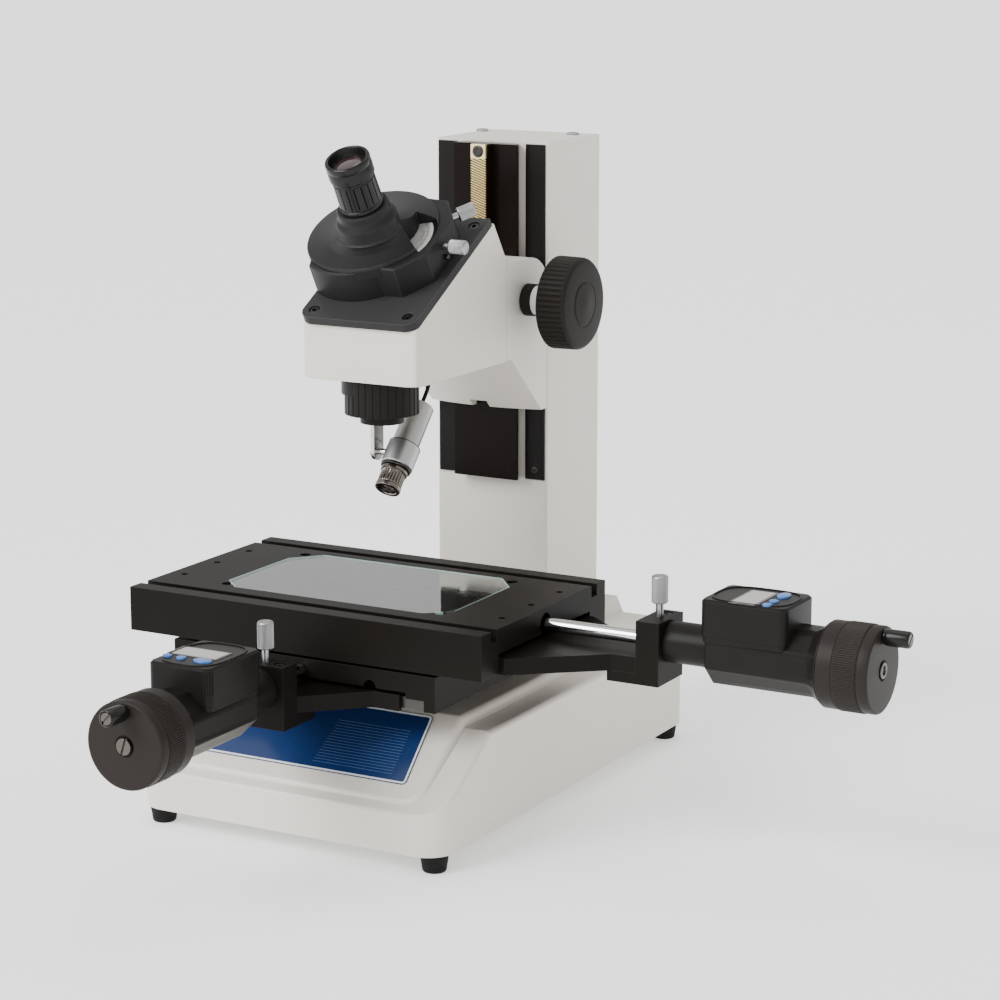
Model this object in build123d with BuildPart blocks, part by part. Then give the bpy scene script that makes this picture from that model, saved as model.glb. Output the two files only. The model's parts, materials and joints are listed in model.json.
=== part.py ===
from build123d import *
import math
import os

# Measuring microscope with a two-axis stage, two digital micrometer heads, a
# protractor eyepiece head on a rack-and-pinion focus slide and a small side lamp.
# Millimetres. x to the right of the instrument, y to its rear, z up from the table it
# stands on. x = 0 is the middle of base, column and head.

os.makedirs("parts", exist_ok=True)

RUN_GAP = 0.3          # air between pieces that move past each other
SHAFT_GAP = 0.05       # radial fit of shafts, pins and spindles

# base casting
FOOT_H = 11.1
FOOT_R_TOP = 8.5
FOOT_R_LOW = 7.0
FOOT_X = 93.5
FOOT_FRONT_Y = -96.5
FOOT_REAR_Y = 202.5
BASE_HALF_X = 105.0
BASE_FRONT_Y = -109.8
BASE_REAR_Y = 216.0
BASE_CORNER_R = 18.0
BASE_WALL = 7.0
SKIRT_TOP_Z = 72.0
SKIRT_FRONT_Z = 35.0
SKIRT_SLOPE_END_Y = -52.0
DECK_HALF_X = 88.0
DECK_CORNER_R = 12.0
DECK_TOP_Z = 79.0
DECK_FRONT_Y = -104.0
DECK_REAR_Y = 212.0
PANEL_FRONT_Z = 40.5
PANEL_SLOPE = 0.75
PEDESTAL_HALF_X = 53.8
PEDESTAL_TOP_Z = 88.9
PEDESTAL_FRONT_Y = -40.0
FLOOR_T = 2.5
PLATE_T = 0.8
PLATE_LOW_HALF_X = 73.8
PLATE_TOP_HALF_X = 69.8
PLATE_LOW_S = 11.0
PLATE_TOP_S = 60.5

# column, guide strips, dovetail and rack
COL_HALF_X = 39.8
COL_FRONT_Y = 138.9
COL_REAR_Y = 209.5
COL_TOP_Z = 391.5
CAP_T = 3.0
STRIP_T = 1.2
STRIP_IN_X = 24.6
STRIP_OUT_X = 38.0
STRIP_LOW_Z = 178.0
WAY_FRONT_Y = 130.0
WAY_HALF_X = 22.6
WAY_LOW_Z = 174.0
WAY_UNDERCUT = math.tan(math.radians(30))
MODULE = 0.5
PINION_TEETH = 50
PITCH_R = MODULE * PINION_TEETH / 2
TOOTH_PITCH = MODULE * math.pi
TOOTH_ADD = 0.4
TOOTH_DED = 0.6
TOOTH_W = 0.56
HELIX_SLOPE = math.tan(math.radians(14))
RACK_HALF_X = 7.2
RACK_TIP_Y = 123.0
RACK_PITCH_Y = RACK_TIP_Y + TOOTH_ADD
RACK_TOP_Z = 385.5
RACK_PAD_L = 13.0
FOCUS_Y = RACK_PITCH_Y - PITCH_R
FOCUS_Z = 297.3

# stage: rail plates, saddle, table, glass
RAIL_Y_HALF_X = 81.0
RAIL_Y_TOP_Z = 95.7
RAIL_Y_FRONT = -84.0
RAIL_Y_REAR = 104.0
STAGE_MID_Y = -13.0
OPTIC_Y = 4.0
SADDLE_HALF_X = 89.3
SADDLE_FRONT_Y = -88.0
SADDLE_REAR_Y = 62.0
SADDLE_LOW_Z = 89.6
SADDLE_TOP_Z = 110.7
SADDLE_CHAN_Z = 99.5
SADDLE_CHAN_X = 70.0
SADDLE_STEP_Z = 96.0
SADDLE_SKIRT_X = 82.0
RAIL_X_HALF_Y = 55.6
RAIL_X_LEFT = -89.3
RAIL_X_RIGHT = 105.0
TABLE_HALF_X = 120.0
TABLE_FRONT_Y = -89.0
TABLE_REAR_Y = 63.0
TABLE_LOW_Z = 112.6
TABLE_TOP_Z = 139.0
TABLE_CHAN_Z = 124.0
TABLE_CHAN_HALF_Y = 56.0
SLOT_W = 7.0
SLOT_DEPTH = 7.0
SLOT_INSET = 14.5
TAP_X = 110.0
TAP_PITCH = 35.0
TAP_MID_Y = -12.0
TAP_R = 2.2
TAP_DEPTH = 10.0
GLASS_T = 4.0
GLASS_HALF_X = 78.5
GLASS_FRONT_Y = -59.5
GLASS_REAR_Y = 37.5
GLASS_CH_FRONT = 13.5
GLASS_CH_REAR_X = 15.0
GLASS_CH_REAR_Y = 18.0
GLASS_LEDGE = 5.0

# micrometer heads (same unit twice) and their brackets
HEAD_X_FACE = 186.0
HEAD_X_AXIS_Y = STAGE_MID_Y
HEAD_X_AXIS_Z = 129.1
HEAD_Y_FACE = -117.5
HEAD_Y_AXIS_Z = 103.4
BLOCK_LEN = 14.3
BLOCK_HALF_V = 16.0
BLOCK_LOW_W = -23.4
BLOCK_TOP_W = 13.6
SEAT_LEN = 18.0
ARM_X_LOW_Z = 111.9
ARM_X_TOP_Z = 121.5
ARM_Y_LOW_Z = 87.6
ARM_Y_TOP_Z = 97.0
NOSE_R = 9.0
STEM_R = 12.0
BODY_START_U = 33.0
BODY_END_U = 92.0
BODY_HALF = 18.5
BODY_CHAMFER = 7.5
FLARE_HALF = 25.5
FLARE_U = 99.0
FLANGE_END_U = 101.6
DISPLAY_START_U = 35.0
DISPLAY_END_U = 98.0
DISPLAY_HALF_V = 20.5
DISPLAY_LOW_W = 8.0
DISPLAY_TOP_W = 32.3
DISPLAY_STEP_W = 17.5
LCD_U = 64.5
LCD_V = -3.8
LCD_LEN_U = 14.0
LCD_LEN_V = 30.0
BUTTON_U = 80.0
BUTTON_BIG_V = 7.5
BUTTON_MID_V = -6.6
BUTTON_END_V = -16.2
BUTTON_R = 2.4
BUTTON_DEEP = 3.0
BUTTON_PROUD = 1.3
THIMBLE_U = 102.0
THIMBLE_SMOOTH_L = 12.6
THIMBLE_KNURL_L = 17.0
THIMBLE_CAP_L = 10.9
THIMBLE_R = 24.6
THIMBLE_KNURL_R = 25.0
THIMBLE_HUB_R = 8.0
THIMBLE_HUB_END_U = 120.0
CRANK_W = 19.0
CRANK_R = 4.8
CRANK_LEN = 15.6
CRANK_PIN_R = 2.0
CRANK_SCREW_R = 3.5
SPINDLE_R = 4.0
SPINDLE_X_OUT = 66.0
SPINDLE_Y_OUT = 29.5
SPINDLE_INSIDE = 25.0
TIP_SOCKET = 4.0
CLAMP_R = 2.2
CLAMP_HEAD_R = 4.75
CLAMP_HEAD_LOW_W = 21.6
CLAMP_HEAD_TOP_W = 37.8

# microscope head
HEAD_HALF_X = 39.6
NOSE_FRONT_Y = -21.5
HEAD_LOW_Z = 261.9
CARRIAGE_FRONT_Y = 86.0
CARRIAGE_REAR_Y = 134.0
CARRIAGE_LOW_Z = 224.0
CARRIAGE_TOP_Z = 322.5
TILT = 30.0
AXIS_REACH = 169.0
COVER_LOW_D = 266.7
COVER_T = 5.3
COVER_TOP_D = COVER_LOW_D + COVER_T
COVER_FRONT_T = -42.0
COVER_REAR_T = 63.5
DRUM_T = 12.0
DRUM_X = -2.0
DRUM_R = 37.0
DRUM_WALL_H = 17.5
DRUM_RIM_H = 7.5
SHOULDER_H = 13.0
COLLAR_H = 15.0
DRUM_WALL_D = COVER_TOP_D + DRUM_WALL_H
DRUM_RIM_D = DRUM_WALL_D + DRUM_RIM_H
COLLAR_D = DRUM_RIM_D + SHOULDER_H
COLLAR_TOP_D = COLLAR_D + COLLAR_H
COLLAR_R = 17.0
COLLAR_TOP_R = 14.7
EYE_GAP = 0.4
EYE_FOOT_H = 3.6
EYE_GRIP_H = 18.0
EYE_RIM_H = 11.0
EYE_LOW_D = COLLAR_TOP_D + EYE_GAP
EYE_GRIP_D = EYE_LOW_D + EYE_FOOT_H
EYE_RIM_D = EYE_GRIP_D + EYE_GRIP_H
EYE_TOP_D = EYE_RIM_D + EYE_RIM_H
EYE_DISH = 5.0
EYE_SPIGOT_R = 10.0
EYE_SPIGOT_L = 16.0
DIAL_R = 33.0
DIAL_LOW_D = DRUM_WALL_D + 0.1
DIAL_T = 2.0
FEED_ANGLE = 45.8
FEED_D = DRUM_WALL_D - 2.5
FEED_HEAD_IN = 46.7
FEED_HEAD_OUT = 57.7
FEED_R = 4.3
LOCK_D = DRUM_WALL_D - 4.9
LOCK_T = 18.0

# objective, side lamp, focus knobs
RING_R = 22.3
RING_LOW_Z = 240.0
LENS_RING_R = 13.0
LENS_RING_LOW_Z = 234.4
LAMP_MOUTH_Y = 9.0
LAMP_MOUTH_Z = 192.0
LAMP_LEAN = 42.2
LAMP_NUT_L = 14.2
LAMP_SEAM_S = 32.0
LAMP_TOP_S = 60.5
LAMP_LOW_R = 8.65
LAMP_UP_R = 8.0
LAMP_NUT_R = 7.6
BAR_RIGHT_X = -12.5
BAR_T = 2.5
BAR_MID_Y = 20.5
BAR_HALF_Y = 5.5
BAR_PIVOT_Z = 212.5
KNOB_R = 28.5
KNOB_IN_X = 60.6
KNOB_COLLAR_X = 47.0
KNOB_OUT_X = 80.0
KNOB_DISC_R = 13.25
KNOB_DISC_OUT_X = 82.0
SHAFT_R = 5.0


def mirror_points(points):
    """Return the points followed by their mirror images across the first axis."""
    return points + [(-a, b) for a, b in reversed(points)]


def head_plane_x():
    """Plane of the right-hand head: its own y is height and its own z runs outward."""
    return Plane(origin=(HEAD_X_FACE, HEAD_X_AXIS_Y, HEAD_X_AXIS_Z),
                 x_dir=(0, 1, 0), z_dir=(1, 0, 0))


def head_plane_y():
    """Plane of the front head: its own y is height and its own z runs to the front."""
    return Plane(origin=(0, HEAD_Y_FACE, HEAD_Y_AXIS_Z), x_dir=(1, 0, 0), z_dir=(0, -1, 0))


def tilt_plane(depth):
    """Plane square to the eyepiece axis at this height along it."""
    c = math.cos(math.radians(TILT))
    s = math.sin(math.radians(TILT))
    origin = (0, c * AXIS_REACH - s * depth, s * AXIS_REACH + c * depth)
    return Plane(origin=origin, x_dir=(1, 0, 0), z_dir=(0, -s, c))


def lamp_plane(along):
    """Plane square to the lamp's axis at this distance from its mouth."""
    lean = math.radians(LAMP_LEAN)
    origin = (0, LAMP_MOUTH_Y + along * math.sin(lean), LAMP_MOUTH_Z + along * math.cos(lean))
    return Plane(origin=origin, x_dir=(1, 0, 0), z_dir=(0, math.sin(lean), math.cos(lean)))


def save(part, label):
    """Label a finished piece and write it as its own file."""
    part.label = label
    export_step(part, "parts/" + label + ".step")


# base
BASE_MID_Y = (BASE_FRONT_Y + BASE_REAR_Y) / 2
BASE_DEPTH = BASE_REAR_Y - BASE_FRONT_Y
DECK_MID_Y = (DECK_FRONT_Y + DECK_REAR_Y) / 2
DECK_DEPTH = DECK_REAR_Y - DECK_FRONT_Y
PANEL_END_Y = DECK_FRONT_Y + (DECK_TOP_Z - PANEL_FRONT_Z) / PANEL_SLOPE
INLET_X = -52.0
INLET_Z = 42.0
SWITCH_X = 30.0
DIMMER_Y = 40.0
DIMMER_Z = 44.0

with BuildPart() as deck_blank:
    with BuildSketch(Plane.XY.offset(FOOT_H + 20)):
        with Locations((0, DECK_MID_Y)):
            RectangleRounded(2 * DECK_HALF_X, DECK_DEPTH, DECK_CORNER_R)
    extrude(amount=DECK_TOP_Z - FOOT_H - 20)
    with BuildSketch(Plane.YZ.offset(-DECK_HALF_X - 1)):
        Polygon((DECK_FRONT_Y - 8, PANEL_FRONT_Z - 8 * PANEL_SLOPE),
                (PANEL_END_Y + 8, DECK_TOP_Z + 8 * PANEL_SLOPE),
                (DECK_FRONT_Y - 8, DECK_TOP_Z + 8 * PANEL_SLOPE), align=None)
    extrude(amount=2 * DECK_HALF_X + 2, mode=Mode.SUBTRACT)
    slope_face = deck_blank.faces().filter_by(lambda f: -0.9 < f.normal_at().Y < -0.3)
    fillet(slope_face.edges(), radius=4)
    top_edges = deck_blank.faces().sort_by(Axis.Z)[-1].edges()
    fillet(top_edges.filter_by(Axis.Y), radius=4)

with BuildPart() as base_housing:
    with BuildSketch(Plane.XY.offset(FOOT_H)):
        with Locations((0, BASE_MID_Y)):
            RectangleRounded(2 * BASE_HALF_X, BASE_DEPTH, BASE_CORNER_R)
    extrude(amount=SKIRT_TOP_Z - FOOT_H)
    with BuildSketch(Plane.YZ.offset(-BASE_HALF_X - 1)):
        Polygon((BASE_FRONT_Y - 1, SKIRT_FRONT_Z), (BASE_FRONT_Y, SKIRT_FRONT_Z),
                (SKIRT_SLOPE_END_Y, SKIRT_TOP_Z), (SKIRT_SLOPE_END_Y, SKIRT_TOP_Z + 1),
                (BASE_FRONT_Y - 1, SKIRT_TOP_Z + 1), align=None)
    extrude(amount=2 * BASE_HALF_X + 2, mode=Mode.SUBTRACT)
    skirt_top = base_housing.faces().filter_by(
        lambda f: f.normal_at().Z > 0.5).edges().filter_by(
        lambda e: e.center().Z > SKIRT_FRONT_Z - 1 and e.length > 4)
    fillet(skirt_top.filter_by(lambda e: abs(e.center().X) > 1
                               or e.center().Y > 200
                               or e.center().Y < BASE_FRONT_Y + 1), radius=3)
    add(deck_blank.part)
    with BuildSketch(Plane.XZ.offset(-DECK_REAR_Y + 1)):
        Polygon((-PEDESTAL_HALF_X - 5, DECK_TOP_Z - 1), (PEDESTAL_HALF_X + 5, DECK_TOP_Z - 1),
                (PEDESTAL_HALF_X, PEDESTAL_TOP_Z), (-PEDESTAL_HALF_X, PEDESTAL_TOP_Z),
                align=None)
    extrude(amount=DECK_REAR_Y - 1 - PEDESTAL_FRONT_Y)
    with BuildSketch(Plane.XY.offset(FOOT_H)):
        with Locations((0, BASE_MID_Y)):
            RectangleRounded(2 * (BASE_HALF_X - BASE_WALL), BASE_DEPTH - 2 * BASE_WALL,
                             BASE_CORNER_R - BASE_WALL)
    extrude(amount=16, mode=Mode.SUBTRACT)
    for low_z, high_z, half_x in ((FOOT_H + 15, SKIRT_TOP_Z - 9, BASE_HALF_X - 9),
                                  (SKIRT_TOP_Z - 10, DECK_TOP_Z - 6, DECK_HALF_X - 9)):
        with BuildSketch(Plane.XY.offset(low_z)):
            with Locations((0, (SKIRT_SLOPE_END_Y + BASE_REAR_Y) / 2)):
                Rectangle(2 * half_x, BASE_REAR_Y - SKIRT_SLOPE_END_Y - 21)
        extrude(amount=high_z - low_z, mode=Mode.SUBTRACT)
    with BuildSketch(Plane.XZ.offset(-BASE_REAR_Y)):
        with Locations((INLET_X, INLET_Z)):
            Rectangle(27, 19.6)
        with Locations((SWITCH_X, INLET_Z)):
            Rectangle(13, 19)
    extrude(amount=2 * BASE_WALL + 6, mode=Mode.SUBTRACT)
    with BuildSketch(Plane.YZ.offset(-BASE_HALF_X)):
        with Locations((DIMMER_Y, DIMMER_Z)):
            Circle(3 + SHAFT_GAP)
    extrude(amount=2 * BASE_WALL + 12, mode=Mode.SUBTRACT)
save(base_housing.part, "base_housing")

with BuildPart() as base_bottom_plate:
    with BuildSketch(Plane.XY.offset(FOOT_H)):
        with Locations((0, BASE_MID_Y)):
            RectangleRounded(2 * (BASE_HALF_X - BASE_WALL), BASE_DEPTH - 2 * BASE_WALL,
                             BASE_CORNER_R - BASE_WALL)
    extrude(amount=FLOOR_T)
save(base_bottom_plate.part, "base_bottom_plate")

with BuildPart() as feet:
    with BuildSketch(Plane.XY.offset(FOOT_H)):
        with Locations((FOOT_X, FOOT_FRONT_Y), (-FOOT_X, FOOT_FRONT_Y),
                       (FOOT_X, FOOT_REAR_Y), (-FOOT_X, FOOT_REAR_Y)):
            Circle(FOOT_R_TOP)
    extrude(amount=-FOOT_H, taper=math.degrees(math.atan((FOOT_R_TOP - FOOT_R_LOW) / FOOT_H)))
save(feet.part, "feet")

SLOPE_DEG = math.degrees(math.atan(PANEL_SLOPE))
panel_plane = Plane(origin=(0, DECK_FRONT_Y, PANEL_FRONT_Z), x_dir=(1, 0, 0),
                    z_dir=(0, -math.sin(math.radians(SLOPE_DEG)),
                           math.cos(math.radians(SLOPE_DEG))))
with BuildPart() as front_plate:
    with BuildSketch(panel_plane):
        Polygon((-PLATE_LOW_HALF_X, PLATE_LOW_S), (PLATE_LOW_HALF_X, PLATE_LOW_S),
                (PLATE_TOP_HALF_X, PLATE_TOP_S), (-PLATE_TOP_HALF_X, PLATE_TOP_S), align=None)
        fillet(vertices(), radius=3)
    extrude(amount=PLATE_T)
save(front_plate.part, "front_plate")

INLET_D = 16.0
with BuildPart() as power_inlet:
    with BuildSketch(Plane.XZ.offset(-BASE_REAR_Y)):
        with Locations((INLET_X, INLET_Z)):
            Rectangle(27, 19.6)
    extrude(amount=INLET_D)
    with BuildSketch(Plane.XZ.offset(-BASE_REAR_Y)):
        with Locations((INLET_X, INLET_Z)):
            RectangleRounded(31, 24, 2)
    extrude(amount=-2)
    with BuildSketch(Plane.XZ.offset(-BASE_REAR_Y - 2)):
        with Locations((INLET_X, INLET_Z)):
            RectangleRounded(23, 15, 2.5)
    extrude(amount=14, mode=Mode.SUBTRACT)
    with BuildSketch(Plane.XZ.offset(-BASE_REAR_Y + 12)):
        with Locations((INLET_X - 7, INLET_Z), (INLET_X + 7, INLET_Z), (INLET_X, INLET_Z + 3)):
            Rectangle(2, 4.5)
    extrude(amount=-9)
save(power_inlet.part, "power_inlet")

with BuildPart() as power_switch:
    with BuildSketch(Plane.YZ.offset(SWITCH_X - 6)):
        Polygon((BASE_REAR_Y - 6, INLET_Z - 8.6), (BASE_REAR_Y + 1.0, INLET_Z - 8.6),
                (BASE_REAR_Y + 1.6, INLET_Z), (BASE_REAR_Y + 3.2, INLET_Z + 8.2),
                (BASE_REAR_Y - 3, INLET_Z + 8.6), align=None)
        with Locations((BASE_REAR_Y - 2, INLET_Z)):
            Circle(1.2, mode=Mode.SUBTRACT)
    extrude(amount=12)
save(power_switch.part, "power_switch")

with BuildPart() as dimmer_knob:
    with BuildSketch(Plane.YZ.offset(-BASE_HALF_X - RUN_GAP)):
        with Locations((DIMMER_Y, DIMMER_Z)):
            Circle(9)
            with PolarLocations(9, 12):
                Circle(0.8, mode=Mode.SUBTRACT)
    extrude(amount=-11)
    with BuildSketch(Plane.YZ.offset(-BASE_HALF_X - RUN_GAP)):
        with Locations((DIMMER_Y, DIMMER_Z)):
            Circle(3)
    extrude(amount=BASE_WALL + 5)
    with BuildSketch(Plane.YZ.offset(-BASE_HALF_X - RUN_GAP - 11)):
        with Locations((DIMMER_Y, DIMMER_Z + 4.5)):
            Rectangle(1.2, 7)
    extrude(amount=0.6, mode=Mode.SUBTRACT)
save(dimmer_knob.part, "dimmer_knob")

# column
with BuildPart() as column:
    with BuildSketch(Plane.XY.offset(PEDESTAL_TOP_Z)):
        with Locations((0, (COL_FRONT_Y + COL_REAR_Y) / 2)):
            Rectangle(2 * COL_HALF_X, COL_REAR_Y - COL_FRONT_Y)
    extrude(amount=COL_TOP_Z - CAP_T - PEDESTAL_TOP_Z)
    fillet(column.edges().filter_by(Axis.Z), radius=1.2)
    with BuildSketch(Plane.XY.offset(PEDESTAL_TOP_Z)):
        with Locations((0, (COL_FRONT_Y + COL_REAR_Y) / 2 + 4)):
            Rectangle(2 * COL_HALF_X - 14, COL_REAR_Y - COL_FRONT_Y - 20)
    extrude(amount=COL_TOP_Z - CAP_T - PEDESTAL_TOP_Z, mode=Mode.SUBTRACT)
    with BuildSketch(Plane.XZ.offset(-COL_FRONT_Y)):
        with Locations((STRIP_IN_X / 2 + STRIP_OUT_X / 2, (STRIP_LOW_Z + COL_TOP_Z) / 2),
                       (-STRIP_IN_X / 2 - STRIP_OUT_X / 2, (STRIP_LOW_Z + COL_TOP_Z) / 2)):
            Rectangle(STRIP_OUT_X - STRIP_IN_X, COL_TOP_Z - STRIP_LOW_Z)
    extrude(amount=-STRIP_T, mode=Mode.SUBTRACT)
save(column.part, "column")

with BuildPart() as column_top_cap:
    with BuildSketch(Plane.XY.offset(COL_TOP_Z - CAP_T)):
        with Locations((0, (COL_FRONT_Y + COL_REAR_Y) / 2)):
            Rectangle(2 * COL_HALF_X, COL_REAR_Y - COL_FRONT_Y)
    extrude(amount=CAP_T)
    fillet(column_top_cap.edges().filter_by(Axis.Z), radius=1.2)
save(column_top_cap.part, "column_top_cap")

STRIP_MID_X = (STRIP_IN_X + STRIP_OUT_X) / 2
STRIP_TOP_Z = COL_TOP_Z - CAP_T
with BuildPart() as guide_strips:
    with BuildSketch(Plane.XZ.offset(-COL_FRONT_Y - STRIP_T)):
        with Locations((STRIP_MID_X, (STRIP_LOW_Z + STRIP_TOP_Z) / 2),
                       (-STRIP_MID_X, (STRIP_LOW_Z + STRIP_TOP_Z) / 2)):
            Rectangle(STRIP_OUT_X - STRIP_IN_X, STRIP_TOP_Z - STRIP_LOW_Z)
    extrude(amount=STRIP_T)
save(guide_strips.part, "guide_strips")

CAP_SCREW_Y = COL_FRONT_Y + 12
RACK_SCREW_Z = RACK_TOP_Z - RACK_PAD_L / 2
RACK_SCREW_R = 4.2
RACK_SINK = 2.4
with BuildPart() as column_screws:
    with BuildSketch(Plane.XY.offset(COL_TOP_Z)):
        with Locations((-26, CAP_SCREW_Y), (26, CAP_SCREW_Y),
                       (-26, COL_REAR_Y - 12), (26, COL_REAR_Y - 12)):
            Circle(4)
    extrude(amount=1.6)
    with BuildSketch(Plane.XZ.offset(-COL_FRONT_Y)):
        with Locations((STRIP_MID_X, STRIP_LOW_Z + 6), (-STRIP_MID_X, STRIP_LOW_Z + 6)):
            Circle(2.6)
    extrude(amount=1.2)
    with BuildSketch(Plane.XZ.offset(-RACK_TIP_Y - RACK_SINK)):
        with Locations((0, RACK_SCREW_Z)):
            Circle(RACK_SCREW_R)
    extrude(amount=RACK_SINK)
    with BuildSketch(Plane.XZ.offset(-RACK_TIP_Y)):
        with Locations((0, RACK_SCREW_Z)):
            RegularPolygon(2.2, 6)
    extrude(amount=-1.6, mode=Mode.SUBTRACT)
save(column_screws.part, "column_screws")

WAY_DEPTH = COL_FRONT_Y - WAY_FRONT_Y
WAY_BACK_HALF = WAY_HALF_X - WAY_UNDERCUT * WAY_DEPTH
with BuildPart() as dovetail_rail:
    with BuildSketch(Plane.XY.offset(WAY_LOW_Z)):
        Polygon((-WAY_HALF_X, WAY_FRONT_Y), (WAY_HALF_X, WAY_FRONT_Y),
                (WAY_BACK_HALF, COL_FRONT_Y), (-WAY_BACK_HALF, COL_FRONT_Y), align=None)
    extrude(amount=STRIP_TOP_Z - WAY_LOW_Z)
save(dovetail_rail.part, "dovetail_rail")

# The rack's teeth slant; the tooth that faces the pinion at rest is a gap at x = 0.
RACK_LOW_Z = WAY_LOW_Z + 2
RACK_SHIFT = RACK_HALF_X * HELIX_SLOPE
FLANK = math.tan(math.radians(20))
teeth_low = FOCUS_Z - TOOTH_PITCH * math.floor((FOCUS_Z - RACK_LOW_Z - RACK_SHIFT)
                                               / TOOTH_PITCH)
tooth_count = int((RACK_TOP_Z - RACK_PAD_L - RACK_SHIFT - teeth_low) / TOOTH_PITCH)
rack_root_y = RACK_PITCH_Y + TOOTH_DED
profile = [(WAY_FRONT_Y, RACK_LOW_Z - 4), (rack_root_y, RACK_LOW_Z - 4)]
for tooth in range(tooth_count):
    mid = teeth_low + TOOTH_PITCH * (tooth + 0.5)
    tip = TOOTH_W / 2 - TOOTH_ADD * FLANK
    root = TOOTH_W / 2 + TOOTH_DED * FLANK
    profile.append((rack_root_y, mid - root))
    profile.append((RACK_TIP_Y, mid - tip))
    profile.append((RACK_TIP_Y, mid + tip))
    profile.append((rack_root_y, mid + root))
profile.append((rack_root_y, RACK_TOP_Z + 4))
profile.append((WAY_FRONT_Y, RACK_TOP_Z + 4))
rack_start = Plane(origin=(-RACK_HALF_X, 0, -RACK_SHIFT), x_dir=(0, 1, 0), z_dir=(1, 0, 0))
with BuildPart() as rack:
    with BuildSketch(rack_start):
        Polygon(*profile, align=None)
    extrude(amount=math.hypot(2 * RACK_HALF_X, 2 * RACK_SHIFT),
            dir=(1, 0, HELIX_SLOPE))
    with BuildSketch(Plane.XZ.offset(-WAY_FRONT_Y)):
        with Locations((0, (RACK_LOW_Z + RACK_TOP_Z) / 2)):
            Rectangle(2 * RACK_HALF_X, RACK_TOP_Z - RACK_LOW_Z)
    extrude(amount=WAY_FRONT_Y - RACK_TIP_Y + 2, mode=Mode.INTERSECT)
    with BuildSketch(Plane.XZ.offset(-WAY_FRONT_Y)):
        with Locations((0, RACK_TOP_Z - RACK_PAD_L / 2)):
            Rectangle(2 * RACK_HALF_X, RACK_PAD_L)
    extrude(amount=WAY_FRONT_Y - RACK_TIP_Y)
    with BuildSketch(Plane.XZ.offset(-RACK_TIP_Y)):
        with Locations((0, RACK_SCREW_Z)):
            Circle(RACK_SCREW_R + RUN_GAP)
    extrude(amount=-RACK_SINK, mode=Mode.SUBTRACT)
save(rack.part, "rack")

# fixed rail plate and front bracket
with BuildPart() as y_rail_plate:
    with BuildSketch(Plane.XY.offset(PEDESTAL_TOP_Z)):
        with Locations((0, (RAIL_Y_FRONT + RAIL_Y_REAR) / 2)):
            Rectangle(2 * RAIL_Y_HALF_X, RAIL_Y_REAR - RAIL_Y_FRONT)
        with Locations((0, OPTIC_Y)):
            Circle(17, mode=Mode.SUBTRACT)
    extrude(amount=RAIL_Y_TOP_Z - PEDESTAL_TOP_Z)
save(y_rail_plate.part, "y_rail_plate")

with BuildPart() as y_bracket_arm:
    with BuildSketch(Plane.XY.offset(ARM_Y_LOW_Z)):
        Polygon(*mirror_points([(BLOCK_HALF_V, HEAD_Y_FACE), (47.5, -87.0), (65.0, -87.0),
                                (65.0, RAIL_Y_FRONT)]), align=None)
    extrude(amount=ARM_Y_TOP_Z - ARM_Y_LOW_Z)
save(y_bracket_arm.part, "y_bracket_arm")


def make_block(seat_w, label, place):
    """Clamping block that holds a micrometer head, with the seat for its arm."""
    with BuildPart() as block:
        with BuildSketch(Plane.YZ.offset(-BLOCK_HALF_V)):
            Polygon((BLOCK_LOW_W, BLOCK_LEN), (BLOCK_TOP_W, BLOCK_LEN), (BLOCK_TOP_W, 0),
                    (seat_w, 0), (seat_w, -SEAT_LEN), (BLOCK_LOW_W, -SEAT_LEN), align=None)
        extrude(amount=2 * BLOCK_HALF_V)
        with BuildSketch(Plane.XY):
            Circle(NOSE_R)
        extrude(amount=BLOCK_LEN, mode=Mode.SUBTRACT)
        with BuildSketch(Plane.XZ.offset(-BLOCK_TOP_W)):
            with Locations((0, BLOCK_LEN / 2)):
                Circle(CLAMP_R + RUN_GAP)
        extrude(amount=6, mode=Mode.SUBTRACT)
        with BuildSketch(Plane.XZ.offset(-BLOCK_TOP_W)):
            with Locations((9.5, BLOCK_LEN / 2)):
                Circle(3.6)
        extrude(amount=3, mode=Mode.SUBTRACT)
    save(place.location * block.part, label)


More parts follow.
